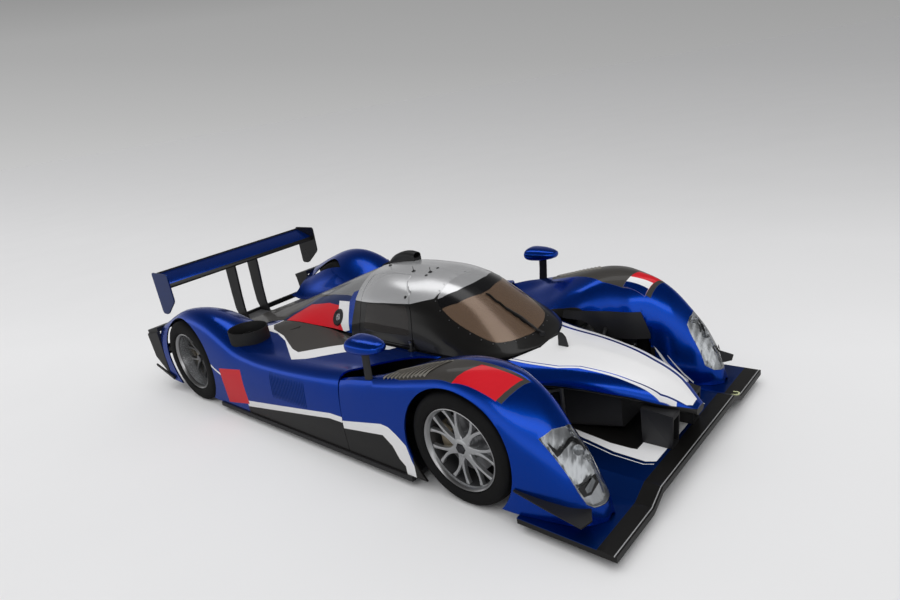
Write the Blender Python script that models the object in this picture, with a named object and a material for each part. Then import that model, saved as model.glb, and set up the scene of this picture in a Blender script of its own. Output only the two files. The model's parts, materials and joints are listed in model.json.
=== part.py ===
"""Closed sports prototype race car. Metres, +X to the nose, +Y to the left, +Z up, ground at z = 0."""

import bmesh
import bpy
import numpy as np
from math import cos, pi, radians, sin
from mathutils import Matrix, Vector

for old in list(bpy.data.objects):
    bpy.data.objects.remove(old)

# Main sizes
LENGTH = 4.58
WIDTH = 2.00
FRONT_X = LENGTH / 2
REAR_X = -LENGTH / 2
HALF_WIDTH = WIDTH / 2
FRONT_AXLE_X = 1.37
WHEELBASE = 2.95
REAR_AXLE_X = FRONT_AXLE_X - WHEELBASE
WING_TOP_Z = 1.03

# Wheels and tyres
FRONT_TYRE_R = 0.340
REAR_TYRE_R = 0.355
FRONT_TYRE_Y = (0.632, 0.968)
REAR_TYRE_Y = (0.618, 0.985)
RIM_R = 0.246
RIM_LIP = 0.012
BARREL_T = 0.009
HUB_R = 0.062
AXLE_R = 0.028
BORE_PLAY = 0.0006
SPOKES = 7
WHEEL_SIDES = 40
KINGPIN_Y = 0.775
ARM_HIGH_Z = 0.515
ARM_LOW_Z = 0.165
PAD_HALF = 0.013

# Clearances
SHUT = 0.005
REST = 0.0006
SEAL = 0.0008
FRONT_ARCH_R = FRONT_TYRE_R + 0.028
REAR_ARCH_R = REAR_TYRE_R + 0.026

# Heights where one piece rests on another
FLOOR_LOW_Z = 0.045
FLOOR_TOP_Z = 0.0774
SPLITTER_T = 0.034
STEP_OUT_Y = 0.618
STEP_IN_Y = 0.508
RAISED_Z = 0.143
OUTER_Z = 0.090
SILL_Z = 0.5952
GEARBOX_TOP_Z = 0.350

# Shell thickness
BODY_T = 0.012
CABIN_T = 0.030
GLASS_T = 0.008

# Door outline in side view and its roof edge
DOOR_FRONT_X = 0.608
DOOR_REAR_X = 0.020
DOOR_LOW_Z = 0.604
DOOR_TOP_Y = 0.160

# Door hinge: the foot of the left axis, its direction and the barrel's radius
HINGE_FOOT = (0.598, 0.458, 0.622)
HINGE_LEAN = (-0.3567, -0.4875, 0.7969)
HINGE_R = 0.009

# Exhaust outlet on the left sidepod
EXHAUST_X = -0.840
EXHAUST_Y = 0.785
EXHAUST_HALF_X = 0.112
EXHAUST_HALF_Y = 0.150
EXHAUST_TURN = radians(22)

# Engine, tail bar, wing, mirrors and headlamps
TUB_REAR_X = -0.300
ENGINE_REAR_X = -0.980
ENGINE_TOP_Z = 0.520
BAR_X = -2.215
WING_Y = 0.795
PLATE_T = 0.012
MIRROR_Y = 0.914
LAMP_T = 0.030
ARM_HOLE_Z = 0.580

MATERIALS = {
    "paint_blue": ((0.010, 0.065, 0.42, 1), 0.55, 0.28),
    "carbon": ((0.022, 0.022, 0.024, 1), 0.10, 0.42),
    "silver": ((0.55, 0.56, 0.57, 1), 0.85, 0.25),
    "white": ((0.86, 0.87, 0.88, 1), 0.0, 0.35),
    "glass": ((0.30, 0.20, 0.13, 1), 0.0, 0.05),
    "rubber": ((0.018, 0.018, 0.018, 1), 0.0, 0.75),
    "alloy": ((0.33, 0.33, 0.34, 1), 0.9, 0.35),
    "lamp": ((0.75, 0.77, 0.79, 1), 0.2, 0.08),
    "fabric": ((0.05, 0.05, 0.055, 1), 0.0, 0.9),
    "metal": ((0.30, 0.30, 0.31, 1), 0.8, 0.4),
}


def material(name):
    found = bpy.data.materials.get(name)
    if found:
        return found
    colour, metallic, roughness = MATERIALS[name]
    made = bpy.data.materials.new(name)
    made.use_nodes = True
    made.diffuse_color = colour
    shader = made.node_tree.nodes["Principled BSDF"]
    shader.inputs["Base Color"].default_value = colour
    shader.inputs["Metallic"].default_value = metallic
    shader.inputs["Roughness"].default_value = roughness
    return made


def add(name, points, faces, slot, origin=(0, 0, 0), helper=False):
    """A mesh object with its faces turned outwards; origin is where its own origin sits."""
    mesh = bpy.data.meshes.new(name)
    start = Vector(origin)
    mesh.from_pydata([Vector(p) - start for p in points], [], faces)
    work = bmesh.new()
    work.from_mesh(mesh)
    bmesh.ops.remove_doubles(work, verts=work.verts, dist=1e-6)
    bmesh.ops.recalc_face_normals(work, faces=work.faces)
    if work.calc_volume(signed=True) < 0:
        bmesh.ops.reverse_faces(work, faces=work.faces)
    work.to_mesh(mesh)
    work.free()
    thing = bpy.data.objects.new(name, mesh)
    thing.location = start
    bpy.context.scene.collection.objects.link(thing)
    mesh.materials.append(material(slot))
    mesh.set_sharp_from_angle(angle=radians(32))
    if helper:
        thing.hide_render = True
        thing.display_type = "WIRE"
    return thing


def boolean(target, other, operation):
    change = target.modifiers.new(operation.lower() + "_" + other.name, "BOOLEAN")
    change.operation = operation
    change.solver = "EXACT"
    change.object = other
    other.hide_render = True
    other.display_type = "WIRE"
    return target


def mirrored(points):
    return [(x, -y, z) for x, y, z in points]


# Curves through points
def through(knots, values, at):
    """Values at the parameters in at, on a smooth curve through the values given at the knots."""
    knots = np.asarray(knots, float)
    values = np.asarray(values, float)
    at = np.asarray(at, float)
    steps = np.diff(knots)
    slopes = np.diff(values, axis=0) / steps[:, None]
    tangents = np.empty_like(values)
    tangents[0] = slopes[0]
    tangents[-1] = slopes[-1]
    share = (steps[1:] / (steps[1:] + steps[:-1]))[:, None]
    tangents[1:-1] = share * slopes[:-1] + (1 - share) * slopes[1:]
    low = np.clip(np.searchsorted(knots, at, side="right") - 1, 0, len(steps) - 1)
    u = ((at - knots[low]) / steps[low])[:, None]
    width = steps[low][:, None]
    return (
        (2 * u**3 - 3 * u**2 + 1) * values[low]
        + (u**3 - 2 * u**2 + u) * width * tangents[low]
        + (3 * u**2 - 2 * u**3) * values[low + 1]
        + (u**3 - u**2) * width * tangents[low + 1]
    )


def grid_of(rows, stations, each):
    """Points on a surface whose rows are (x, point, point...), each point (y, z) or (x, y, z)."""
    knots = [row[0] for row in rows]
    columns = []
    for place in range(1, len(rows[0])):
        points = [
            row[place] if len(row[place]) == 3 else (row[0], *row[place]) for row in rows
        ]
        columns.append(through(knots, points, stations))
    across = np.arange(len(columns), dtype=float)
    fine = np.linspace(0, len(columns) - 1, (len(columns) - 1) * each + 1)
    return np.array([
        through(across, [column[i] for column in columns], fine) for i in range(len(stations))
    ])


def spread(low, high, count):
    return np.linspace(low, high, count)


def grid_normals(grid):
    along = np.gradient(grid, axis=0)
    across = np.gradient(grid, axis=1)
    normal = np.cross(along, across)
    return normal / np.maximum(np.linalg.norm(normal, axis=2, keepdims=True), 1e-9)


def shell_of(grid, thickness):
    """A closed sheet: the grid and the same grid moved in, with level feet and upright ends."""
    inner = grid - thickness * grid_normals(grid)
    for column in (0, -1):
        inner[:, column, 2] = grid[:, column, 2]
        inner[column, :, 0] = grid[column, :, 0]
    rows, columns = grid.shape[:2]
    points = [tuple(p) for p in grid.reshape(-1, 3)] + [tuple(p) for p in inner.reshape(-1, 3)]
    far = rows * columns
    faces = []
    for i in range(rows - 1):
        for j in range(columns - 1):
            a = i * columns + j
            b, c, d = a + 1, a + columns + 1, a + columns
            faces.append((a, b, c, d))
            faces.append((far + a, far + d, far + c, far + b))
    rim = list(range(columns))
    rim += [i * columns + columns - 1 for i in range(1, rows)]
    rim += [(rows - 1) * columns + j for j in range(columns - 2, -1, -1)]
    rim += [i * columns for i in range(rows - 2, 0, -1)]
    for here, there in zip(rim, rim[1:] + rim[:1]):
        faces.append((here, there, far + there, far + here))
    return points, faces


def loft(sections):
    """A solid through closed sections with the same number of points, capped at both ends."""
    count = len(sections[0])
    points = [tuple(p) for section in sections for p in section]
    faces = []
    for i in range(len(sections) - 1):
        for j in range(count):
            k = (j + 1) % count
            a, b = i * count + j, i * count + k
            faces.append((a, b, b + count, a + count))
    faces.append(tuple(range(count)))
    last = (len(sections) - 1) * count
    faces.append(tuple(range(last + count - 1, last - 1, -1)))
    return points, faces


def prism(outline, low, high, axis):
    """The outline, pairs in the two other axes in x, y, z order, pushed from low to high along the axis."""
    def at(pair, height):
        place = list(pair)
        place.insert(axis, height)
        return tuple(place)
    return loft([[at(p, low) for p in outline], [at(p, high) for p in outline]])


def box(low, high):
    return prism([(low[0], low[1]), (high[0], low[1]), (high[0], high[1]), (low[0], high[1])],
                 low[2], high[2], 2)


def lathe(profile, centre, segments):
    """A ring turned round the y axis through the centre; the profile is a closed list of (radius, y)."""
    points = []
    for s in range(segments):
        turn = 2 * pi * s / segments
        points += [(centre[0] + r * cos(turn), y, centre[2] + r * sin(turn)) for r, y in profile]
    count = len(profile)
    faces = []
    for s in range(segments):
        for j in range(count):
            k = (j + 1) % count
            t = (s + 1) % segments
            faces.append((s * count + j, s * count + k, t * count + k, t * count + j))
    return points, faces


def rod(start, end, radius, sides=8):
    """A round bar between two points."""
    start, end = Vector(start), Vector(end)
    turn = (end - start).to_track_quat("Z", "Y")
    rings = [
        [tuple(place + turn @ Vector((radius * cos(2 * pi * s / sides),
                                      radius * sin(2 * pi * s / sides), 0)))
         for s in range(sides)]
        for place in (start, end)
    ]
    return loft(rings)


def merged(name, pieces, slot, origin=(0, 0, 0)):
    """One object from overlapping closed shapes."""
    first = add(name, *pieces[0], slot, origin)
    for n, piece in enumerate(pieces[1:]):
        boolean(first, add(f"add_{name}_{n}", *piece, slot, helper=True), "UNION")
    return first


def both(build):
    """Builds the left side's pieces, then a mirror image of each for the right."""
    before = set(bpy.data.objects)
    build()
    bpy.context.view_layer.update()
    graph = bpy.context.evaluated_depsgraph_get()
    for thing in sorted(set(bpy.data.objects) - before, key=lambda made: made.name):
        if thing.hide_render:
            continue
        mesh = bpy.data.meshes.new_from_object(thing.evaluated_get(graph))
        mesh.transform(Matrix.Diagonal((1, -1, 1, 1)))
        mesh.flip_normals()
        twin = bpy.data.objects.new(thing.name.replace("_left", "_right"), mesh)
        twin.location = (thing.location.x, -thing.location.y, thing.location.z)
        bpy.context.scene.collection.objects.link(twin)


def flip(shape, side):
    points, faces = shape
    return (points, faces) if side > 0 else (mirrored(points), faces)


# Cylinders that leave room for the wheels
def arch_cutter(name, axle_x, axle_z, radius, inner_y):
    turn = [(axle_x + radius * cos(2 * pi * s / 48), axle_z + radius * sin(2 * pi * s / 48))
            for s in range(48)]
    shape = prism(turn, inner_y, HALF_WIDTH + 0.1, 1)
    return add(name, *shape, "carbon", helper=True)


# Front fenders: x, then inner foot, inner wall, inner shoulder, crest, outer shoulder, flank, foot
FENDER = [
    (0.424, (0.560, 0.400), (0.620, 0.430), (0.700, 0.462), (0.810, 0.505), (0.935, 0.560),
     (0.984, 0.330), (0.984, 0.078)),
    (0.550, (0.540, 0.430), (0.600, 0.455), (0.690, 0.492), (0.810, 0.540), (0.940, 0.590),
     (0.984, 0.340), (0.984, 0.078)),
    (0.700, (0.520, 0.460), (0.575, 0.482), (0.665, 0.525), (0.800, 0.585), (0.942, 0.615),
     (0.984, 0.350), (0.984, 0.078)),
    (0.970, (0.462, 0.530), (0.520, 0.555), (0.610, 0.605), (0.780, 0.690), (0.945, 0.665),
     (0.984, 0.400), (0.984, 0.078)),
    (1.170, (0.462, 0.530), (0.510, 0.605), (0.600, 0.690), (0.770, 0.757), (0.945, 0.712),
     (0.984, 0.450), (0.984, 0.078)),
    (1.370, (0.510, 0.460), (0.538, 0.630), (0.612, 0.740), (0.770, 0.798), (0.945, 0.748),
     (0.984, 0.480), (0.984, 0.080)),
    (1.480, (0.518, 0.300), (0.540, 0.520), (0.610, 0.728), (0.770, 0.803), (0.942, 0.738),
     (0.984, 0.480), (0.984, 0.085)),
    (1.600, (0.528, 0.180), (0.545, 0.430), (0.610, 0.702), (0.770, 0.792), (0.932, 0.688),
     (0.982, 0.430), (0.984, 0.0920)),
    (1.750, (0.575, 0.1130), (0.595, 0.370), (0.655, 0.650), (0.770, 0.746), (0.915, 0.588),
     (0.972, 0.380), (0.976, 0.0920)),
    (1.850, (0.600, 0.1005), (0.612, 0.315), (0.670, 0.575), (0.770, 0.670), (0.897, 0.520),
     (0.955, 0.330), (0.961, 0.0920)),
    (1.940, (0.622, 0.0920), (0.637, 0.260), (0.690, 0.472), (0.770, 0.566), (0.876, 0.450),
     (0.932, 0.285), (0.942, 0.0920)),
    (2.050, (0.662, 0.0920), (0.672, 0.205), (0.705, 0.322), (0.770, 0.408), (0.845, 0.330),
     (0.890, 0.215), (0.905, 0.0920)),
    (2.108, (0.692, 0.0920), (0.702, 0.170), (0.728, 0.230), (0.770, 0.275), (0.815, 0.235),
     (0.845, 0.165), (0.860, 0.0920)),
    (2.148, (0.737, 0.0920), (0.740, 0.102), (0.752, 0.112), (0.770, 0.117), (0.786, 0.112),
     (0.800, 0.102), (0.803, 0.0920)),
]
LAMP_VIEW = [(0.790, 0.180), (0.764, 0.225), (0.757, 0.314), (0.760, 0.545), (0.837, 0.548), (0.893, 0.513),
             (0.888, 0.439), (0.884, 0.356), (0.880, 0.270), (0.868, 0.200), (0.845, 0.178)]


def lamp_prism(grow):
    middle = np.mean(LAMP_VIEW, axis=0)
    view = []
    for point in LAMP_VIEW:
        away = np.array(point) - middle
        view.append(tuple(middle + away * (1 + grow / np.linalg.norm(away))))
    return prism(view, 1.70, 2.30, 0)


FENDER_STATIONS = np.concatenate([spread(0.424, 1.05, 6), spread(1.14, 2.05, 12), [2.09, 2.12, 2.148]])


def front_fender():
    grid = grid_of(FENDER, FENDER_STATIONS, 2)
    fender = add("front_fender_left", *shell_of(grid, BODY_T), "paint_blue")
    boolean(fender, arch_cutter("cut_front_arch_left", FRONT_AXLE_X, FRONT_TYRE_R,
                                FRONT_ARCH_R, 0.556), "DIFFERENCE")
    arms = box((FRONT_AXLE_X - 0.21, 0.40, 0.10), (FRONT_AXLE_X + FRONT_ARCH_R, 0.60, ARM_HOLE_Z))
    boolean(fender, add("cut_arms_left", *arms, "carbon", helper=True), "DIFFERENCE")
    boolean(fender, add("cut_lamp_left", *lamp_prism(0.0), "lamp", helper=True),
            "DIFFERENCE")
    plan = [(1.74, 0.958), (1.90, 0.938), (2.00, 0.905), (2.09, 0.850), (2.135, 0.999),
            (1.92, 0.999), (1.74, 0.992)]
    low = [(x, y, 0.236 - (x - 1.74) * 0.180) for x, y in plan]
    plate = loft([low, [(x, y, z + 0.008) for x, y, z in low]])
    boolean(fender, add("add_dive_left", *plate, "carbon", helper=True), "UNION")
    lamp_grid = grid_of(FENDER, spread(1.75, 2.148, 9), 2)
    lamp = add("headlamp_left", *shell_of(lamp_grid, LAMP_T), "lamp")
    boolean(lamp, add("keep_lamp_left", *lamp_prism(-SEAL), "lamp", helper=True),
            "INTERSECT")


both(front_fender)

# Nose over the open channels: x, then half sections from the top centre down to the bottom centre
NOSE = [
    (0.950, (0.000, 0.600), (0.360, 0.585), (0.425, 0.560), (0.448, 0.520), (0.380, 0.500),
     (0.000, 0.500)),
    (1.150, (0.000, 0.597), (0.315, 0.576), (0.400, 0.548), (0.440, 0.505), (0.365, 0.482),
     (0.000, 0.482)),
    (1.370, (0.000, 0.585), (0.250, 0.562), (0.350, 0.530), (0.405, 0.470), (0.305, 0.448),
     (0.000, 0.442)),
    (1.650, (0.000, 0.574), (0.200, 0.550), (0.270, 0.520), (0.300, 0.455), (0.222, 0.422),
     (0.000, 0.414)),
    (1.950, (0.000, 0.528), (0.150, 0.506), (0.195, 0.475), (0.212, 0.415), (0.160, 0.386),
     (0.000, 0.380)),
    (2.150, (0.000, 0.452), (0.098, 0.435), (0.128, 0.410), (0.138, 0.365), (0.100, 0.342),
     (0.000, 0.338)),
    (2.285, (0.000, 0.344), (0.034, 0.337), (0.046, 0.325), (0.048, 0.310), (0.034, 0.296),
     (0.000, 0.294)),
]

# Cabin: x, then from the roof centre out and down to the sill
CABIN = [
    (-0.045, (0.00, 0.985), (0.13, 0.968), (0.24, 0.915), (0.32, 0.840), (0.365, 0.760),
     (0.405, 0.680), (0.430, 0.596)),
    (0.150, (0.00, 1.010), (0.15, 0.994), (0.27, 0.944), (0.35, 0.875), (0.390, 0.790),
     (0.422, 0.700), (0.440, 0.596)),
    (0.400, (0.00, 1.012), (0.15, 0.997), (0.28, 0.950), (0.36, 0.882), (0.398, 0.795),
     (0.428, 0.702), (0.445, 0.596)),
    (0.600, (0.00, 0.992), (0.15, 0.978), (0.28, 0.934), (0.36, 0.872), (0.400, 0.790),
     (0.430, 0.700), (0.447, 0.596)),
    (0.750, (0.00, 0.948), (0.15, 0.935), (0.27, 0.897), (0.35, 0.843), (0.395, 0.770),
     (0.428, 0.690), (0.448, 0.596)),
    (0.900, (0.00, 0.865), (0.14, 0.855), (0.25, 0.826), (0.33, 0.782), (0.382, 0.728),
     (0.422, 0.668), (0.447, 0.596)),
    (1.050, (0.00, 0.752), (0.13, 0.745), (0.23, 0.727), (0.31, 0.700), (0.365, 0.668),
     (0.405, 0.638), (0.434, 0.595)),
    (1.180, (0.00, 0.660), (0.11, 0.656), (0.20, 0.646), (0.27, 0.633), (0.315, 0.620),
     (0.350, 0.607), (0.378, 0.590)),
    (1.290, (0.00, 0.606), (0.07, 0.604), (0.13, 0.601), (0.18, 0.597), (0.215, 0.593),
     (0.240, 0.588), (0.258, 0.583)),
    (1.355, (0.00, 0.590), (0.03, 0.5895), (0.055, 0.589), (0.075, 0.588), (0.090, 0.587),
     (0.100, 0.586), (0.108, 0.584)),
]


def full_grid(rows, stations, each):
    """The half surface of the rows with its mirror image, from the right side across to the left."""
    half = grid_of(rows, stations, each)
    other = half[:, :0:-1] * np.array([1, -1, 1])
    return np.concatenate([other, half], axis=1)


CABIN_STATIONS = np.concatenate([spread(-0.045, 0.6, 6), spread(0.68, 1.355, 9)])


def cabin_solid(grow):
    """All the space under the cabin's outside, grown sideways and up, used to clear its neighbours."""
    grid = full_grid(CABIN, CABIN_STATIONS, 2)
    grid = grid + grow * grid_normals(grid)
    sections = []
    for section in grid:
        below = [(section[-1][0], section[-1][1], 0.30), (section[0][0], section[0][1], 0.30)]
        sections.append([tuple(p) for p in section] + below)
    first = [(x - 0.30, y, z) for x, y, z in sections[0]]
    last = [(x + grow, y, z) for x, y, z in sections[-1]]
    return loft([first] + sections + [last])


NOSE_STATIONS = np.concatenate([spread(0.95, 1.65, 7), spread(1.76, 2.15, 5), [2.20, 2.245, 2.285]])


def nose_shape(grow):
    half = grid_of(NOSE, NOSE_STATIONS, 2)
    half = half + grow * grid_normals(half)
    sections = []
    for section in half:
        other = [(x, -y, z) for x, y, z in section[-2:0:-1]]
        sections.append([tuple(p) for p in section] + other)
    return loft(sections)


def nose():
    made = add("nose_cone", *nose_shape(0.0), "white")
    boolean(made, add("cut_cabin_space", *cabin_solid(SHUT), "white", helper=True), "DIFFERENCE")


nose()

WINDSCREEN_VIEW = [(0.735, 0.300), (0.710, 0.150), (0.702, 0.0), (0.710, -0.150), (0.735, -0.300),
                   (0.820, -0.328), (0.920, -0.334), (1.030, -0.318), (1.120, -0.292), (1.168, -0.262),
                   (1.222, -0.165), (1.256, 0.0), (1.222, 0.165), (1.168, 0.262), (1.120, 0.292),
                   (1.030, 0.318), (0.920, 0.334), (0.820, 0.328)]
DOOR_VIEW = [(DOOR_REAR_X + 0.032, DOOR_LOW_Z), (DOOR_FRONT_X, DOOR_LOW_Z), (DOOR_FRONT_X - 0.008, 0.720),
             (DOOR_FRONT_X - 0.030, 0.824), (DOOR_FRONT_X - 0.080, 0.916), (DOOR_FRONT_X - 0.178, 0.975),
             (DOOR_FRONT_X - 0.308, 1.100), (DOOR_REAR_X, 1.100), (DOOR_REAR_X, 0.930),
             (DOOR_REAR_X + 0.018, 0.840), (DOOR_REAR_X + 0.033, 0.740)]
LEAF_VIEW = [(DOOR_REAR_X + 0.032, DOOR_LOW_Z), (DOOR_FRONT_X - 0.060, DOOR_LOW_Z),
             (DOOR_FRONT_X - 0.001, DOOR_LOW_Z + 0.014)]
LEAF_VIEW += DOOR_VIEW[2:7]
LEAF_VIEW += [(DOOR_REAR_X + 0.006, 1.100), (DOOR_REAR_X + 0.004, 0.930)]
LEAF_VIEW += DOOR_VIEW[9:]
GLASS_VIEW = [(0.110, 0.652), (0.572, 0.676), (0.562, 0.780), (0.525, 0.858), (0.128, 0.838)]


def grown(view, grow):
    """The outline moved out by grow, or in where grow is negative."""
    middle = np.mean(view, axis=0)
    out = []
    for n, point in enumerate(view):
        before = np.array(view[n - 1], float)
        here = np.array(point, float)
        after = np.array(view[(n + 1) % len(view)], float)
        first = here - before
        second = after - here
        first = np.array([first[1], -first[0]]) / np.linalg.norm(first)
        second = np.array([second[1], -second[0]]) / np.linalg.norm(second)
        if np.dot(first, here - middle) + np.dot(second, here - middle) < 0:
            first, second = -first, -second
        move = (first + second) / (1 + np.dot(first, second))
        out.append(tuple(here + grow * move))
    return out


# Front jamb of the door opening, turned round the hinge line: along it, then the radius
JAMB = [(0.024, 0.0190), (0.050, 0.0270), (0.076, 0.0375), (0.095, 0.0450), (0.123, 0.0530), (0.169, 0.0645),
        (0.205, 0.0730), (0.234, 0.0730), (0.269, 0.0720), (0.296, 0.0680), (0.321, 0.0640), (0.350, 0.0610),
        (0.372, 0.0400), (0.400, 0.0235)]


def hinge_point(along):
    """A point on the left door's hinge axis, along it from the foot."""
    return tuple(a + along * b for a, b in zip(HINGE_FOOT, HINGE_LEAN))


def jamb_space():
    """The space that the left door's front edge turns through."""
    turn = Vector(HINGE_LEAN).to_track_quat("Z", "Y")
    rings = []
    for along, radius in JAMB:
        middle = Vector(hinge_point(along))
        rings.append([tuple(middle + turn @ Vector((radius * cos(2 * pi * s / 32),
                                                    radius * sin(2 * pi * s / 32), 0)))
                      for s in range(32)])
    return loft(rings)


def cabin():
    grid = full_grid(CABIN, CABIN_STATIONS, 2)
    shape = shell_of(grid, CABIN_T)
    shell = add("cabin_shell", *shape, "silver")
    boolean(shell, add("cut_windscreen", *prism(WINDSCREEN_VIEW, 0.4, 1.3, 2), "glass", helper=True),
            "DIFFERENCE")
    pane = add("windscreen", *shell_of(grid, GLASS_T), "glass")
    boolean(pane, add("keep_windscreen", *prism(grown(WINDSCREEN_VIEW, -SEAL), 0.4, 1.3, 2),
                      "glass", helper=True), "INTERSECT")

    def door():
        for side, word in ((1, "left"), (-1, "right")):
            hole = flip(prism(DOOR_VIEW, DOOR_TOP_Y, 0.60, 1), side)
            hole = add(f"cut_door_{word}", *hole, "carbon", helper=True)
            jamb = add(f"cut_jamb_{word}", *flip(jamb_space(), side), "carbon", helper=True)
            boolean(hole, jamb, "UNION")
            boolean(shell, hole, "DIFFERENCE")
        leaf = add("door_left", *shape, "carbon", origin=HINGE_FOOT)
        keep = prism(grown(LEAF_VIEW, -SHUT), DOOR_TOP_Y + SHUT, 0.60, 1)
        boolean(leaf, add("keep_door_left", *keep, "carbon", helper=True), "INTERSECT")
        barrel = rod(hinge_point(0.0), hinge_point(0.03), HINGE_R, 16)
        boolean(leaf, add("add_barrel_left", *barrel, "metal", helper=True), "UNION")
        lug = box((DOOR_FRONT_X - 0.030, 0.420, 0.628), (DOOR_FRONT_X - 0.010, 0.458, 0.650))
        boolean(leaf, add("add_lug_left", *lug, "metal", helper=True), "UNION")
        window = prism(GLASS_VIEW, 0.30, 0.60, 1)
        boolean(leaf, add("cut_glass_left", *window, "glass", helper=True), "DIFFERENCE")
        glass = add("door_glass_left", *shell_of(grid, GLASS_T), "glass", origin=HINGE_FOOT)
        inset = prism(grown(GLASS_VIEW, -SEAL), 0.30, 0.60, 1)
        boolean(glass, add("keep_glass_left", *inset, "glass", helper=True), "INTERSECT")

    both(door)


cabin()

# Sidepods and rear fenders: x, then inner edge, deck, deck edge, crest, outer shoulder, flank, foot
SIDE = [
    (-2.060, (0.400, 0.420), (0.475, 0.430), (0.570, 0.500), (0.780, 0.606), (0.935, 0.580),
     (0.984, 0.420), (0.984, 0.110)),
    (-1.950, (0.400, 0.392), (0.475, 0.405), (0.568, 0.530), (0.780, 0.650), (0.938, 0.622),
     (0.984, 0.440), (0.984, 0.105)),
    (-1.800, (0.400, 0.390), (0.480, 0.410), (0.565, 0.580), (0.780, 0.706), (0.940, 0.680),
     (0.984, 0.460), (0.984, 0.100)),
    (-1.600, (0.400, 0.428), (0.485, 0.448), (0.565, 0.640), (0.780, 0.766), (0.940, 0.744),
     (0.984, 0.480), (0.984, 0.090)),
    (-1.400, (0.400, 0.478), (0.485, 0.500), (0.568, 0.668), (0.780, 0.786), (0.940, 0.760),
     (0.984, 0.480), (0.984, 0.080)),
    (-1.180, (0.402, 0.540), (0.485, 0.552), (0.572, 0.636), (0.775, 0.752), (0.937, 0.720),
     (0.984, 0.450), (0.984, 0.078)),
    (-1.000, (0.408, 0.580), (0.490, 0.582), (0.580, 0.612), (0.765, 0.684), (0.935, 0.650),
     (0.984, 0.410), (0.984, 0.078)),
    (-0.850, (0.412, 0.596), (0.500, 0.592), (0.600, 0.590), (0.770, 0.604), (0.935, 0.585),
     (0.984, 0.380), (0.984, 0.078)),
    (-0.600, (0.412, 0.602), (0.500, 0.588), (0.620, 0.574), (0.780, 0.562), (0.940, 0.542),
     (0.984, 0.350), (0.984, 0.078)),
    (-0.300, (0.415, 0.598), (0.500, 0.590), (0.620, 0.576), (0.780, 0.560), (0.940, 0.536),
     (0.984, 0.350), (0.984, 0.078)),
    (0.000, (0.442, 0.584), (0.510, 0.592), (0.625, 0.588), (0.780, 0.574), (0.940, 0.548),
     (0.984, 0.350), (0.984, 0.078)),
    (0.200, (0.300, 0.455, 0.584), (0.280, 0.520, 0.594), (0.255, 0.630, 0.596),
     (0.225, 0.780, 0.585), (0.205, 0.938, 0.562), (0.200, 0.984, 0.340), (0.200, 0.984, 0.078)),
    (0.420, (0.860, 0.460, 0.584), (0.740, 0.530, 0.600), (0.620, 0.640, 0.604),
     (0.500, 0.780, 0.600), (0.422, 0.930, 0.582), (0.420, 0.984, 0.330), (0.420, 0.984, 0.078)),
]


def oval(less):
    """The exhaust's outline in plan, smaller by less all round."""
    ring = []
    for s in range(20):
        along = (EXHAUST_HALF_X - less) * cos(2 * pi * s / 20)
        across = (EXHAUST_HALF_Y - less) * sin(2 * pi * s / 20)
        ring.append((EXHAUST_X + along * cos(EXHAUST_TURN) - across * sin(EXHAUST_TURN),
                     EXHAUST_Y + along * sin(EXHAUST_TURN) + across * cos(EXHAUST_TURN)))
    return ring


def side_panel():
    stations = np.concatenate([spread(-2.06, -0.85, 13), spread(-0.70, 0.0, 4), [0.1, 0.2, 0.31, 0.42]])
    grid = grid_of(SIDE, stations, 2)
    panel = add("side_panel_left", *shell_of(grid, BODY_T), "paint_blue")
    boolean(panel, arch_cutter("cut_rear_arch_left", REAR_AXLE_X, REAR_TYRE_R, REAR_ARCH_R,
                               0.598), "DIFFERENCE")
    notch = box((HINGE_FOOT[0] - 0.020, 0.44, 0.55), (HINGE_FOOT[0] + 0.030, HINGE_FOOT[1] + 0.032, 0.64))
    boolean(panel, add("cut_hinge_left", *notch, "carbon", helper=True), "DIFFERENCE")
    boolean(panel, add("cut_exhaust_left", *prism(oval(0.0), 0.45, 0.90, 2), "carbon", helper=True),
            "DIFFERENCE")
    outer = []
    inner = []
    for height, tilt in ((0.520, 0.0), (0.600, 0.0), (0.688, 0.016)):
        for shape, less in ((outer, SEAL), (inner, 0.010)):
            shape.append([(x, y, height + tilt * (EXHAUST_X - x) / EXHAUST_HALF_X) for x, y in oval(less)])
    pipe = add("exhaust_left", *loft(outer), "carbon")
    hollow = [[(x, y, z - 0.02 if n == 0 else z + 0.02 * (n == 2)) for x, y, z in loop]
              for n, loop in enumerate(inner)]
    boolean(pipe, add("cut_bore_left", *loft(hollow), "carbon", helper=True), "DIFFERENCE")


both(side_panel)

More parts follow.
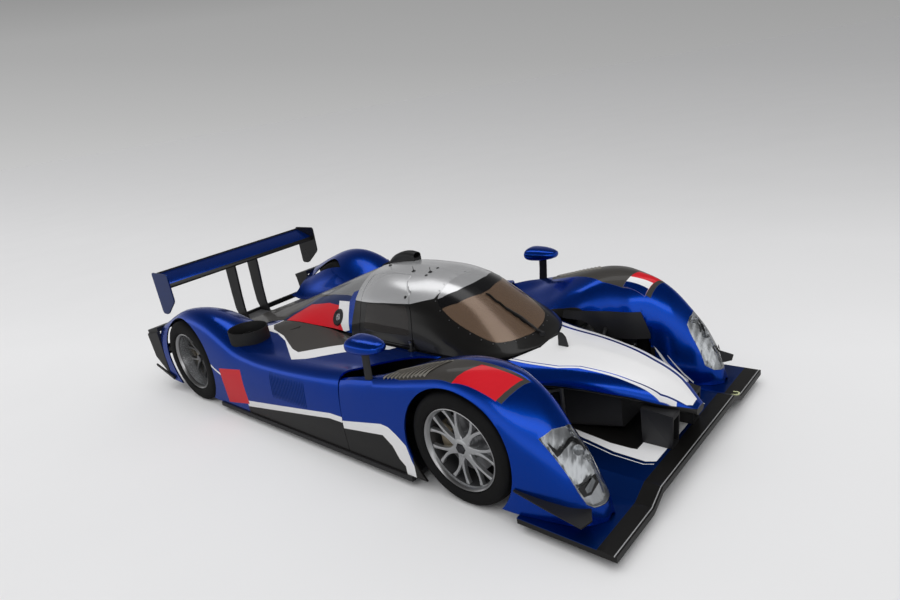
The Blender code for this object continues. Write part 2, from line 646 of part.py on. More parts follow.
# Engine cover: x, then from the spine out to the deck
COVER = [
    (-1.900, (0.00, 0.398), (0.06, 0.397), (0.12, 0.396), (0.18, 0.395), (0.25, 0.394),
     (0.32, 0.393), (0.394, 0.392)),
    (-1.700, (0.00, 0.440), (0.06, 0.438), (0.12, 0.434), (0.18, 0.428), (0.25, 0.421),
     (0.32, 0.415), (0.394, 0.410)),
    (-1.400, (0.00, 0.528), (0.06, 0.526), (0.12, 0.520), (0.18, 0.511), (0.25, 0.500),
     (0.32, 0.489), (0.394, 0.480)),
    (-1.100, (0.00, 0.626), (0.06, 0.623), (0.12, 0.614), (0.18, 0.602), (0.25, 0.588),
     (0.32, 0.574), (0.398, 0.562)),
    (-0.800, (0.00, 0.728), (0.07, 0.723), (0.13, 0.708), (0.20, 0.682), (0.27, 0.652),
     (0.34, 0.620), (0.406, 0.600)),
    (-0.500, (0.00, 0.832), (0.08, 0.824), (0.15, 0.803), (0.23, 0.760), (0.30, 0.706),
     (0.36, 0.648), (0.406, 0.604)),
    (-0.250, (0.00, 0.918), (0.10, 0.908), (0.19, 0.873), (0.27, 0.814), (0.33, 0.742),
     (0.38, 0.666), (0.409, 0.606)),
    (-0.0458, (0.00, 0.984), (0.13, 0.967), (0.24, 0.914), (0.32, 0.839), (0.365, 0.759),
     (0.405, 0.680), (0.430, 0.606)),
]
COVER_STATIONS = np.concatenate([spread(-1.90, -0.25, 9), [-0.15, -0.0458]])


def engine_cover():
    grid = full_grid(COVER, COVER_STATIONS, 1)
    add("engine_cover", *shell_of(grid, BODY_T), "carbon")


engine_cover()

# Tub with the cockpit, and the front wishbones that are bolted to it
TUB = [
    (-0.300, 0.395, FLOOR_TOP_Z + REST, 0.560),
    (-0.060, 0.412, FLOOR_TOP_Z + REST, SILL_Z),
    (0.020, 0.430, FLOOR_TOP_Z + REST, SILL_Z),
    (0.900, 0.430, FLOOR_TOP_Z + REST, SILL_Z),
    (1.050, 0.390, FLOOR_TOP_Z + REST, 0.520),
    (1.280, 0.250, FLOOR_TOP_Z + REST, 0.465),
    (1.310, 0.240, RAISED_Z + REST, 0.460),
    (1.620, 0.190, RAISED_Z + REST, 0.425),
    (1.900, 0.150, 0.180, 0.370),
]
DASH = [(0.72, 0.585), (0.90, 0.585), (0.92, 0.475), (0.80, 0.470), (0.74, 0.500)]


def tub_shape(grow):
    sections = []
    for x, half, low, high in TUB:
        edge = 0.012
        half += grow
        high += grow
        ring = [(half - edge, low), (half, low + edge), (half, high - edge), (half - edge, high)]
        sections.append([(x, y, z) for y, z in ring] + [(x, -y, z) for y, z in ring[::-1]])
    return loft(sections)


def tub():
    body = add("monocoque", *tub_shape(0.0), "carbon")
    boolean(bpy.data.objects["nose_cone"],
            add("cut_tub_seat", *tub_shape(REST), "carbon", helper=True), "DIFFERENCE")
    for side, word in ((1, "left"), (-1, "right")):
        barrel = flip(rod(hinge_point(-0.045), hinge_point(-REST), HINGE_R, 16), side)
        boolean(body, add(f"add_hinge_{word}", *barrel, "metal", helper=True), "UNION")
        foot = box((HINGE_FOOT[0] - 0.014, 0.415, SILL_Z - 0.03),
                   (HINGE_FOOT[0] + 0.024, HINGE_FOOT[1] + 0.026, SILL_Z))
        boolean(body, add(f"add_hinge_foot_{word}", *flip(foot, side), "metal", helper=True), "UNION")
    hole = [
        [(-0.02, -0.365, 0.125), (-0.02, 0.365, 0.125), (-0.02, 0.365, 0.70), (-0.02, -0.365, 0.70)],
        [(0.90, -0.355, 0.125), (0.90, 0.355, 0.125), (0.90, 0.355, 0.70), (0.90, -0.355, 0.70)],
    ]
    boolean(body, add("cut_cockpit", *loft(hole), "carbon", helper=True), "DIFFERENCE")
    well = [
        [(0.80, -0.30, 0.150), (0.80, 0.30, 0.150), (0.80, 0.30, 0.420), (0.80, -0.30, 0.420)],
        [(1.55, -0.155, 0.165), (1.55, 0.155, 0.165), (1.55, 0.155, 0.370), (1.55, -0.155, 0.370)],
    ]
    boolean(body, add("cut_footwell", *loft(well), "carbon", helper=True), "DIFFERENCE")
    boolean(body, add("add_dash", *prism(DASH, -0.37, 0.37, 1), "carbon", helper=True), "UNION")


def front_arms():
    """The wishbones of one side with their pads and the brackets on the tub."""
    pieces = []
    for reach, root_y in ((0.18, 0.213), (-0.18, 0.316)):
        root = FRONT_AXLE_X + reach
        pieces.append(rod((root, root_y, 0.170), (root, root_y, 0.400), 0.016, 8))
        for height, root_z in ((ARM_HIGH_Z, 0.385), (ARM_LOW_Z, 0.190)):
            end = (FRONT_AXLE_X + 0.07 * reach, KINGPIN_Y - 0.02, height)
            pieces.append(rod((root, root_y, root_z), end, 0.012, 8))
    for height in (ARM_HIGH_Z, ARM_LOW_Z):
        pieces.append(rod((FRONT_AXLE_X, KINGPIN_Y, height - PAD_HALF),
                          (FRONT_AXLE_X, KINGPIN_Y, height + PAD_HALF), 0.034, 12))
    made = merged("front_arms_left", pieces, "metal")
    boolean(made, add("cut_tub_side_left", *tub_shape(REST), "metal", helper=True), "DIFFERENCE")


def brake_duct():
    """The black box that feeds air to a front brake, between the nose and the raised splitter."""
    low = RAISED_Z + REST
    body = loft([
        [(2.030, 0.100, low), (2.200, 0.100, low), (2.200, 0.185, low), (2.030, 0.185, low)],
        [(2.040, 0.100, 0.370), (2.215, 0.100, 0.345), (2.215, 0.190, 0.345), (2.040, 0.200, 0.370)],
    ])
    mouth = box((2.060, 0.112, low + 0.02), (2.300, 0.176, 0.320))
    made = add("brake_duct_left", *body, "carbon")
    boolean(made, add("cut_duct_left", *mouth, "carbon", helper=True), "DIFFERENCE")
    boolean(made, add("cut_nose_space", *nose_shape(REST), "carbon", helper=True), "DIFFERENCE")


tub()
both(front_arms)
both(brake_duct)

# Front splitter with its raised centre, and the flat floor behind it


def splitter():
    def profile(x):
        half = [(0.0, RAISED_Z), (STEP_IN_Y, RAISED_Z), (STEP_OUT_Y, OUTER_Z), (HALF_WIDTH, OUTER_Z)]
        top = [(x, y, z) for y, z in half[::-1]] + [(x, -y, z) for y, z in half[1:]]
        return top + [(a, b, c - SPLITTER_T) for a, b, c in top[::-1]]
    plate = add("front_splitter", *loft([profile(1.745), profile(FRONT_X)]), "paint_blue")
    back = prism([(1.760, -0.50), (1.760, 0.50), (1.312, 0.50), (1.312, -0.50)],
                 RAISED_Z - SPLITTER_T + 0.001, RAISED_Z - 0.001, 2)
    boolean(plate, add("add_splitter_back", *back, "carbon", helper=True), "UNION")


splitter()


def floor():
    plan = [(1.285, 0.50), (0.995, 0.53), (0.995, 0.995), (-1.19, 0.995), (-1.19, 0.56), (-1.93, 0.56)]
    outline = plan + [(x, -y) for x, y in plan[::-1]]
    add("floor", *prism(outline, FLOOR_LOW_Z, FLOOR_TOP_Z, 2), "carbon")


floor()

# Engine, gearbox and the rear end
add("engine", *prism([(TUB_REAR_X - REST, -0.30), (TUB_REAR_X - REST, 0.30), (ENGINE_REAR_X, 0.26),
                      (ENGINE_REAR_X, -0.26)], FLOOR_TOP_Z + REST, ENGINE_TOP_Z, 2), "metal")


def gearbox_shape(grow):
    sections = []
    for x, half, low, high in ((ENGINE_REAR_X - REST, 0.22, 0.10, 0.45), (-1.40, 0.19, 0.12, 0.42),
                               (-1.70, 0.15, 0.18, 0.365), (-1.88, 0.14, 0.21, GEARBOX_TOP_Z),
                               (BAR_X + REST, 0.14, 0.255, GEARBOX_TOP_Z)):
        half += grow
        sections.append([(x, half, low), (x, half, high), (x, -half, high), (x, -half, low)])
    return loft(sections)


add("gearbox", *gearbox_shape(0.0), "metal")


def rear_upright():
    block = box((REAR_AXLE_X - 0.05, 0.66, 0.225), (REAR_AXLE_X + 0.05, 0.755, 0.485))
    pieces = [block, rod((REAR_AXLE_X, 0.74, REAR_TYRE_R), (REAR_AXLE_X, 0.905, REAR_TYRE_R), AXLE_R, 24)]
    arms = ((0.16, 0.43, 0.33), (-0.16, 0.43, 0.31), (0.16, 0.25, 0.20), (-0.16, 0.25, 0.24))
    for reach, outer_z, inner_z in arms:
        inner_y = 0.170 if reach > 0 else 0.135
        pieces.append(rod((REAR_AXLE_X + reach * 0.2, 0.70, outer_z),
                          (REAR_AXLE_X + reach, inner_y, inner_z), 0.012, 8))
    upright = merged("rear_upright_left", pieces, "metal")
    boolean(upright, add("cut_gearbox_space", *gearbox_shape(REST), "metal", helper=True), "DIFFERENCE")


both(rear_upright)


def tail():
    bar = [(BAR_X, -0.97), (BAR_X, 0.97), (BAR_X - 0.025, 0.97), (BAR_X - 0.025, -0.97)]
    cheek = [(-2.063, 0.560), (-2.276, 0.520), (-2.285, 0.500), (-2.255, 0.300), (-2.063, 0.150)]
    lid = [(-2.063, 0.560), (-2.063, 0.600), (-2.276, 0.552), (-2.276, 0.520)]
    web = [(-2.063, 0.345), (-2.063, 0.590), (-2.270, 0.540), (-2.240, 0.345)]
    blade = [(-1.985, 0.120), (-2.285, 0.205), (-2.285, 0.222), (-1.985, 0.150)]
    left = [
        prism(cheek, 0.962, 0.990, 1),
        box((-2.245, 0.640, 0.335), (-2.063, 0.975, 0.360)),
        prism(lid, 0.640, 0.980, 1),
        prism(web, 0.640, 0.656, 1),
        prism(blade, 0.9875, HALF_WIDTH, 1),
    ]
    pieces = [prism(bar, 0.330, 0.375, 2)] + left + [flip(piece, -1) for piece in left]
    merged("tail_panel", pieces, "carbon")


tail()


def diffuser():
    ramp = [(-1.9306, 0.047), (-2.270, 0.235), (-2.270, 0.250), (-1.9306, 0.075)]
    pieces = [prism(ramp, -0.780, 0.780, 1)]
    for y in (-0.775, -0.40, -0.13, 0.13, 0.40, 0.775):
        fence = [(-1.950, 0.048), (-2.265, 0.060), (-2.275, 0.245), (-1.950, 0.065)]
        pieces.append(prism(fence, y - 0.004, y + 0.004, 1))
    merged("diffuser", pieces, "carbon")


diffuser()


# Rear wing
def wing():
    chord = [(-2.020, 0.905), (-2.030, 0.922), (-2.080, 0.948), (-2.160, 0.976), (-2.260, 1.006),
             (-2.264, 0.998), (-2.180, 0.958), (-2.100, 0.920), (-2.050, 0.900), (-2.028, 0.896)]
    add("wing_plane", *prism(chord, -(WING_Y - PLATE_T - REST), WING_Y - PLATE_T - REST, 1), "paint_blue")
    room = add("cut_wing_space", *prism(grown(chord, REST), -0.3, 0.3, 1), "carbon", helper=True)

    def plate():
        view = [(REAR_X, 0.640), (REAR_X, WING_TOP_Z), (-1.985, WING_TOP_Z), (-1.990, 0.780), (-2.190, 0.640)]
        add("wing_endplate_left", *prism(view, WING_Y - PLATE_T, WING_Y, 1), "carbon")
        foot = 0.12
        sections = []
        for z, front, rear in ((GEARBOX_TOP_Z + REST, -2.060, -2.205), (0.45, -2.085, -2.245),
                               (0.60, -2.080, -2.245), (0.82, -2.060, -2.235), (0.930, -2.055, -2.230)):
            sections.append([(front, foot - 0.009, z), (front, foot + 0.009, z),
                             (rear, foot + 0.009, z + (0.018 if z > 0.9 else 0.0)),
                             (rear, foot - 0.009, z + (0.018 if z > 0.9 else 0.0))])
        pylon = add("wing_pylon_left", *loft(sections), "carbon")
        boolean(pylon, room, "DIFFERENCE")

    both(plate)


wing()


# Mirrors on stalks that stand on the fenders
def mirror():
    stalk = loft([
        [(0.745, 0.920, 0.580), (0.745, 0.938, 0.580), (0.670, 0.938, 0.580), (0.670, 0.920, 0.580)],
        [(0.765, 0.924, 0.810), (0.765, 0.938, 0.810), (0.695, 0.938, 0.810), (0.695, 0.924, 0.810)],
    ])
    sections = []
    for x, half_y, half_z in ((0.620, 0.078, 0.042), (0.660, 0.085, 0.050), (0.740, 0.083, 0.048),
                              (0.820, 0.066, 0.036), (0.870, 0.026, 0.016)):
        sections.append([(x, MIRROR_Y + half_y * cos(2 * pi * s / 16), 0.838 + half_z * sin(2 * pi * s / 16))
                         for s in range(16)])
    made = merged("mirror_left", [stalk, loft(sections)], "paint_blue")
    skin = grid_of(FENDER, FENDER_STATIONS[:7], 2)[:, 6:11]
    below = shell_of(skin + REST * grid_normals(skin), 0.10)
    boolean(made, add("cut_fender_space", *below, "carbon", helper=True), "DIFFERENCE")


both(mirror)


# Roof snorkel on the left of the roof
def snorkel():
    sections = []
    middle = 0.116
    for x, low, high, half in ((-0.110, 0.90, 0.978, 0.024), (-0.050, 0.90, 1.022, 0.032),
                               (0.040, 0.90, 1.060, 0.038), (0.140, 0.90, 1.074, 0.040),
                               (0.200, 0.90, 1.066, 0.038)):
        sections.append([(x, middle + half, low), (x, middle + half * 0.8, high - 0.008), (x, middle, high),
                         (x, middle - half * 0.8, high - 0.008), (x, middle - half, low)])
    made = add("roof_snorkel", *loft(sections), "carbon")
    boolean(made, add("cut_roof_space", *cabin_solid(2 * REST), "carbon", helper=True), "DIFFERENCE")
    cover = full_grid(COVER, COVER_STATIONS, 1)
    below = shell_of(cover + REST * grid_normals(cover), 0.12)
    boolean(made, add("cut_cover_space", *below, "carbon", helper=True), "DIFFERENCE")


# Seat and steering wheel
def seat():
    side_view = [(0.02, 0.1256), (0.42, 0.1256), (0.50, 0.200), (0.30, 0.170), (0.14, 0.190), (0.06, 0.330),
                 (0.03, 0.620), (0.005, 0.760), (-0.015, 0.700), (-0.015, 0.135)]
    add("seat", *prism(side_view, -0.04, 0.30, 1), "fabric")


seat()


def steering_wheel():
    grips = [(0.13, -0.045), (0.15, 0.0), (0.13, 0.055), (-0.13, 0.055), (-0.15, 0.0), (-0.13, -0.045)]
    centre = Vector((0.615, 0.13, 0.560))
    tilt = Matrix.Rotation(radians(20), 3, "Y")
    rings = [[tuple(centre + tilt @ Vector((depth, y, z))) for y, z in grips] for depth in (-0.012, 0.012)]
    column = rod(tuple(centre), tuple(centre + tilt @ Vector((0.150, 0, 0))), 0.020, 12)
    made = merged("steering_wheel", [loft(rings), column], "carbon")
    boolean(made, add("cut_dash_space", *prism(grown(DASH, REST), -0.37, 0.37, 1), "carbon", helper=True),
            "DIFFERENCE")


steering_wheel()


# Front uprights, turning about the kingpin
def knuckle():
    pivot = (FRONT_AXLE_X, KINGPIN_Y, FRONT_TYRE_R)
    post = box((FRONT_AXLE_X - 0.045, 0.758, ARM_LOW_Z + PAD_HALF + REST),
               (FRONT_AXLE_X + 0.045, 0.800, ARM_HIGH_Z - PAD_HALF - REST))
    spindle = rod((FRONT_AXLE_X, 0.78, FRONT_TYRE_R), (FRONT_AXLE_X, 0.905, FRONT_TYRE_R), AXLE_R, 24)
    merged("knuckle_left", [post, spindle], "metal", pivot)


both(knuckle)


# Rims and tyres
def wheel(end):
    front = end == "front"
    axle_x = FRONT_AXLE_X if front else REAR_AXLE_X
    radius = FRONT_TYRE_R if front else REAR_TYRE_R
    low, high = FRONT_TYRE_Y if front else REAR_TYRE_Y
    centre = (axle_x, 0.0, radius)
    origin = (axle_x, (low + high) / 2, radius)
    face = high - (0.040 if front else 0.110)
    well = RIM_R - RIM_LIP
    barrel = [(RIM_R, low + 0.010), (RIM_R, low + 0.018), (well, low + 0.024), (well, high - 0.030),
              (RIM_R, high - 0.024), (RIM_R, high - 0.014), (RIM_R - 0.006, high - 0.012),
              (well - BARREL_T, high - 0.032), (well - BARREL_T, low + 0.020), (RIM_R - 0.010, low + 0.008)]
    hub = [(AXLE_R + BORE_PLAY, face - 0.085), (HUB_R, face - 0.085), (HUB_R, face - 0.004),
           (0.034, face + 0.020), (AXLE_R + BORE_PLAY, face + 0.020)]
    pieces = [lathe(barrel, centre, WHEEL_SIDES), lathe(hub, centre, 16)]
    for n in range(SPOKES):
        turn = 2 * pi * n / SPOKES
        corners = [(HUB_R - 0.008, -0.16), (0.120, -0.08), (well - 0.004, -0.245), (well - 0.004, -0.175),
                   (0.140, 0.0), (well - 0.004, 0.175), (well - 0.004, 0.245), (0.120, 0.08),
                   (HUB_R - 0.008, 0.16)]
        outline = [(axle_x + r * cos(turn + a), radius + r * sin(turn + a)) for r, a in corners]
        pieces.append(prism(outline, face - 0.030, face - 0.006, 1))
    merged(f"rim_{end}_left", pieces, "alloy", origin)
    tyre = [(RIM_R + REST, low + 0.004), (RIM_R + 0.040, low), (radius - 0.035, low + 0.002),
            (radius - 0.008, low + 0.018), (radius, low + 0.060), (radius, high - 0.060),
            (radius - 0.008, high - 0.018), (radius - 0.035, high - 0.002), (RIM_R + 0.040, high),
            (RIM_R + REST, high - 0.006)]
    add(f"tyre_{end}_left", *lathe(tyre, centre, WHEEL_SIDES), "rubber", origin)


both(lambda: wheel("front"))
both(lambda: wheel("rear"))

snorkel()
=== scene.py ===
import json

import bmesh
import bpy
import numpy as np
from math import cos, pi, radians, sin
from mathutils import Matrix, Vector

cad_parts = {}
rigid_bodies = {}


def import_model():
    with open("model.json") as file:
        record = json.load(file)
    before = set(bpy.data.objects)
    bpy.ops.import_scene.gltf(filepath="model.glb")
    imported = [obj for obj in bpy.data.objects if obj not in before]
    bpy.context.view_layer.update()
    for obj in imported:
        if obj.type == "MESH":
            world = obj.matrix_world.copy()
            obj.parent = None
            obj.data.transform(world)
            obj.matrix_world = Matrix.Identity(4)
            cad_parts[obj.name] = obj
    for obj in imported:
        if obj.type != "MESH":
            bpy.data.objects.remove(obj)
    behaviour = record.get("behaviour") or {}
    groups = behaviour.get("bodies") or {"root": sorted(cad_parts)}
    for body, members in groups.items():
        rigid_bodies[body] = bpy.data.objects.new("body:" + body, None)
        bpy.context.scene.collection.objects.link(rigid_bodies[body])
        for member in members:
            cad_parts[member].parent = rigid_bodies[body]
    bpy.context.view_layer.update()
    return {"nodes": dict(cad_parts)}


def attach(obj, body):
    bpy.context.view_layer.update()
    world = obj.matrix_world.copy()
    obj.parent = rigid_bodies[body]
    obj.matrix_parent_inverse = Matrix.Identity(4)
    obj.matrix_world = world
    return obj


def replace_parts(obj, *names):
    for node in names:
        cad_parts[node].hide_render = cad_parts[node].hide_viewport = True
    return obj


for unused in list(bpy.data.objects):
    bpy.data.objects.remove(unused)
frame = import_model()
scene = bpy.context.scene

# The camera stands ahead of the car's right front corner, about two metres up,
# and is rolled a little, as the photograph was.
ahead = Vector((-0.664, 0.680, -0.312)).normalized()
right = Vector((0.742, 0.651, -0.161))
right = (right - right.dot(ahead) * ahead).normalized()
above = right.cross(ahead)
camera = bpy.data.objects.new("camera", bpy.data.cameras.new("camera"))
camera.data.lens = 25.35
camera.data.sensor_width = 36
camera.data.sensor_fit = "HORIZONTAL"
camera_turn = Matrix((right, above, -ahead)).transposed().to_4x4()
camera.matrix_world = Matrix.Translation((3.492, -2.993, 2.142)) @ camera_turn
scene.collection.objects.link(camera)
scene.camera = camera
scene.view_settings.view_transform = "Standard"


# The studio is a pale floor that runs off to a grey distance, under one long
# soft lamp overhead, a wide soft light from the camera's side, and an even sky.
def feed(tree, made, inputs):
    """Sets each input of a shader node, or wires it to the output of another."""
    for key, value in inputs.items():
        if isinstance(value, bpy.types.NodeSocket):
            tree.links.new(value, made.inputs[key])
        else:
            made.inputs[key].default_value = value
    return made


def node(tree, kind, inputs=None, **settings):
    made = tree.nodes.new(kind)
    for key, value in settings.items():
        setattr(made, key, value)
    return feed(tree, made, inputs or {})


def sum_of(tree, operation, first, second=0.0, third=0.0, clamp=False):
    return node(tree, "ShaderNodeMath", {0: first, 1: second, 2: third}, operation=operation,
                use_clamp=clamp).outputs[0]


def scaled(tree, value, factor, plus, clamp=False):
    return sum_of(tree, "MULTIPLY_ADD", value, factor, plus, clamp)


def vector(tree, operation, first, second=(0, 0, 0)):
    made = node(tree, "ShaderNodeVectorMath", {0: first, 1: second}, operation=operation)
    return made.outputs["Value" if operation == "DOT_PRODUCT" else "Vector"]


def ramp(tree, value, stops):
    made = node(tree, "ShaderNodeValToRGB", {"Fac": value})
    points = made.color_ramp.elements
    while len(points) < len(stops):
        points.new(0.5)
    for point, (place, level) in zip(points, stops):
        point.position = place
        point.color = (level, level, level, 1)
    return made.outputs["Color"]


def mix(tree, share, first, second):
    """The first colour where share is 0, the second where it is 1."""
    return node(tree, "ShaderNodeMix", {0: share, 6: first, 7: second}, data_type="RGBA").outputs[2]


def dimmed(tree, colour, level):
    return node(tree, "ShaderNodeHueSaturation", {"Color": colour, "Value": level}).outputs[0]


def noise(tree, place, scale, detail):
    inputs = {"Vector": place, "Scale": scale, "Detail": detail}
    return node(tree, "ShaderNodeTexNoise", inputs).outputs["Fac"]


def material(name):
    """A new material with its shader tree, its surface node and the place on the object."""
    made = bpy.data.materials.new(name)
    made.use_nodes = True
    tree = made.node_tree
    return made, tree, tree.nodes["Principled BSDF"], node(tree, "ShaderNodeTexCoord").outputs["Object"]


def rise_of(tree, heading):
    """How far up the sweep a heading lies, 0 at its foot or well aside of it, and 1 at its top."""
    way = vector(tree, "NORMALIZE", heading)
    up = vector(tree, "DOT_PRODUCT", way, above)
    out = vector(tree, "DOT_PRODUCT", way, ahead)
    rise = scaled(tree, sum_of(tree, "DIVIDE", up, sum_of(tree, "MAXIMUM", out, 0.25)), 1.0, 0.5, clamp=True)
    aside = scaled(tree, out, -1.9, 1.4, clamp=True)
    faded = sum_of(tree, "MULTIPLY", aside, node(tree, "ShaderNodeLightPath").outputs["Is Camera Ray"])
    return sum_of(tree, "MULTIPLY", rise, sum_of(tree, "SUBTRACT", 1.0, faded))


backdrop_greys = [(0.0, 0.80), (0.42, 0.80), (0.595, 0.694), (0.689, 0.584), (0.784, 0.485), (0.879, 0.402),
                  (0.966, 0.356), (1.0, 0.34)]
world = bpy.data.worlds.new("studio")
scene.world = world
world.use_nodes = True
sky = world.node_tree
sky.nodes.clear()
seen = node(sky, "ShaderNodeLightPath")
heading = node(sky, "ShaderNodeTexCoord").outputs["Generated"]
height = node(sky, "ShaderNodeSeparateXYZ", {0: heading}).outputs["Z"]
fade = ramp(sky, height, [(0.0, 1.0), (0.14, 1.0), (0.35, 0.42), (0.7, 0.16), (1.0, 0.12)])
sweep = ramp(sky, rise_of(sky, heading), backdrop_greys)
backdrop = node(sky, "ShaderNodeBackground", {"Color": vector(sky, "MULTIPLY", sweep, fade)})
ambient = node(sky, "ShaderNodeBackground", {"Color": (0.50, 0.50, 0.51, 1)})
direct = sum_of(sky, "MAXIMUM", seen.outputs["Is Camera Ray"], seen.outputs["Is Glossy Ray"])
direct = sum_of(sky, "MAXIMUM", direct, seen.outputs["Is Transmission Ray"])
mixed = node(sky, "ShaderNodeMixShader", {0: direct, 1: ambient.outputs[0], 2: backdrop.outputs[0]})
node(sky, "ShaderNodeOutputWorld", {"Surface": mixed.outputs[0]})

floor_sides = 48
floor_reach = 400
floor_mesh = bpy.data.meshes.new("studio_floor")
floor_mesh.from_pydata([(floor_reach * cos(2 * pi * s / floor_sides),
                         floor_reach * sin(2 * pi * s / floor_sides), 0)
                        for s in range(floor_sides)], [], [tuple(range(floor_sides))])
studio_floor = bpy.data.objects.new("studio_floor", floor_mesh)
scene.collection.objects.link(studio_floor)
pale, tree, surface, place = material("pale_floor")
heading = vector(tree, "SUBTRACT", place, camera.location)
mottle = noise(tree, place, 0.7, 3.0)
shade = dimmed(tree, ramp(tree, rise_of(tree, heading), backdrop_greys), scaled(tree, mottle, 0.04, 0.98))
# In reflections the floor shows a flat darker grey than its own: painted shade that keeps the car's flanks from
# mirroring it brightly.
mirrored_ray = node(tree, "ShaderNodeLightPath").outputs["Is Glossy Ray"]
feed(tree, surface, {"Base Color": mix(tree, mirrored_ray, shade, (0.30, 0.30, 0.30, 1)), "Roughness": 0.55,
                     "Specular IOR Level": 0.0})
floor_mesh.materials.append(pale)


def lamp_over(name, kind, energy, place, aim, shows_in="diffuse", **settings):
    """A lamp that either lights the paint evenly or shows in it as a highlight."""
    data = bpy.data.lights.new(name, kind)
    data.energy = energy
    for key, value in settings.items():
        setattr(data, key, value)
    made = bpy.data.objects.new(name, data)
    made.location = place
    made.rotation_euler = (Vector(aim) - Vector(place)).to_track_quat("-Z", "Y").to_euler()
    made.visible_glossy = shows_in == "gloss"
    made.visible_diffuse = shows_in == "diffuse"
    made.visible_transmission = False
    scene.collection.objects.link(made)


lamp_over("sun_overhead", "SUN", 1.62, (1.0, -1.5, 6.0), (0, 0, 0), angle=radians(70))
lamp_over("softbox_overhead", "AREA", 40, (-0.5, 1.5, 5.0), (0.0, 0.2, 0), "gloss", shape="RECTANGLE",
          size=7.0, size_y=1.6)
lamp_over("softbox_side", "AREA", 24, (4.5, -6.0, 3.4), (0.4, 0, 0.5), "gloss", shape="RECTANGLE", size=5.0,
          size_y=1.2)


# Front fenders. Each is one laid-up composite skin over a front wheel, painted blue,
# with an opening for the wheel, one for the headlamp and one for the suspension arms.
def through(knots, values, at):
    """Values at the parameters in at, on a smooth curve through the values given at the knots."""
    knots = np.asarray(knots, float)
    values = np.asarray(values, float)
    at = np.asarray(at, float)
    steps = np.diff(knots)
    slopes = np.diff(values, axis=0) / steps[:, None]
    tangents = np.empty_like(values)
    tangents[0] = slopes[0]
    tangents[-1] = slopes[-1]
    share = (steps[1:] / (steps[1:] + steps[:-1]))[:, None]
    tangents[1:-1] = share * slopes[:-1] + (1 - share) * slopes[1:]
    low = np.clip(np.searchsorted(knots, at, side="right") - 1, 0, len(steps) - 1)
    u = ((at - knots[low]) / steps[low])[:, None]
    width = steps[low][:, None]
    return (
        (2 * u**3 - 3 * u**2 + 1) * values[low]
        + (u**3 - 2 * u**2 + u) * width * tangents[low]
        + (3 * u**2 - 2 * u**3) * values[low + 1]
        + (u**3 - u**2) * width * tangents[low + 1]
    )


def grid_of(rows, stations, each):
    """Points on a surface; a row is x and then its points, each y, z, or x, y, z where the row is bent."""
    knots = [row[0] for row in rows]
    count = (min(len(row) for row in rows) - 1) // 2
    points = [np.reshape(row[1:], (count, -1)) for row in rows]
    points = [p if p.shape[1] == 3 else np.insert(p, 0, x, axis=1) for x, p in zip(knots, points)]
    columns = [through(knots, [p[place] for p in points], stations) for place in range(count)]
    across = np.arange(len(columns), dtype=float)
    fine = np.linspace(0, len(columns) - 1, (len(columns) - 1) * each + 1)
    return np.array([through(across, [column[i] for column in columns], fine) for i in range(len(stations))])


def grid_normals(grid):
    along = np.gradient(grid, axis=0)
    across = np.gradient(grid, axis=1)
    normal = np.cross(along, across)
    return normal / np.maximum(np.linalg.norm(normal, axis=2, keepdims=True), 1e-9)


def shell_of(grid, thickness, level=True):
    """A closed sheet: the grid, and the grid moved in; level keeps its feet level and its ends upright."""
    inner = grid - thickness * grid_normals(grid)
    for column in (0, -1) if level else ():
        inner[:, column, 2] = grid[:, column, 2]
        inner[column, :, 0] = grid[column, :, 0]
    rows, columns = grid.shape[:2]
    points = [tuple(p) for p in grid.reshape(-1, 3)] + [tuple(p) for p in inner.reshape(-1, 3)]
    far = rows * columns
    faces = []
    for i in range(rows - 1):
        for j in range(columns - 1):
            a = i * columns + j
            b, c, d = a + 1, a + columns + 1, a + columns
            faces += [(a, b, c, d), (far + a, far + d, far + c, far + b)]
    rim = list(range(columns)) + [i * columns + columns - 1 for i in range(1, rows)]
    rim += [(rows - 1) * columns + j for j in range(columns - 2, -1, -1)]
    rim += [i * columns for i in range(rows - 2, 0, -1)]
    faces += [(a, b, far + b, far + a) for a, b in zip(rim, rim[1:] + rim[:1])]
    return points, faces


def loft(sections):
    """A solid through closed sections with the same number of points, capped at both ends."""
    count = len(sections[0])
    points = [tuple(p) for section in sections for p in section]
    faces = []
    for i in range(len(sections) - 1):
        for j in range(count):
            k = (j + 1) % count
            a, b = i * count + j, i * count + k
            faces.append((a, b, b + count, a + count))
    faces.append(tuple(range(count)))
    last = (len(sections) - 1) * count
    faces.append(tuple(range(last + count - 1, last - 1, -1)))
    return points, faces


def prism(outline, low, high, axis):
    """The outline, pairs in the two other axes in x, y, z order, pushed from low to high along the axis."""
    def at(pair, height):
        place = list(pair)
        place.insert(axis, height)
        return tuple(place)
    return loft([[at(p, low) for p in outline], [at(p, high) for p in outline]])


def solid(name, shape, coats=(), body="chassis", sharp=32, sheet=None):
    """An object from points and faces; sheet is a shell's grid, and its inner faces take the second coat."""
    mesh = bpy.data.meshes.new(name)
    mesh.from_pydata(shape[0], [], shape[1])
    for coat in coats:
        mesh.materials.append(coat)
    if sheet is not None:
        for n in range(2 * (sheet.shape[0] - 1) * (sheet.shape[1] - 1)):
            mesh.polygons[n].material_index = n % 2
    work = bmesh.new()
    work.from_mesh(mesh)
    bmesh.ops.remove_doubles(work, verts=work.verts, dist=1e-6)
    bmesh.ops.recalc_face_normals(work, faces=work.faces)
    if work.calc_volume(signed=True) < 0:
        bmesh.ops.reverse_faces(work, faces=work.faces)
    work.to_mesh(mesh)
    work.free()
    mesh.set_sharp_from_angle(angle=radians(sharp))
    made = bpy.data.objects.new(name, mesh)
    scene.collection.objects.link(made)
    if body:
        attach(made, body)
    return made


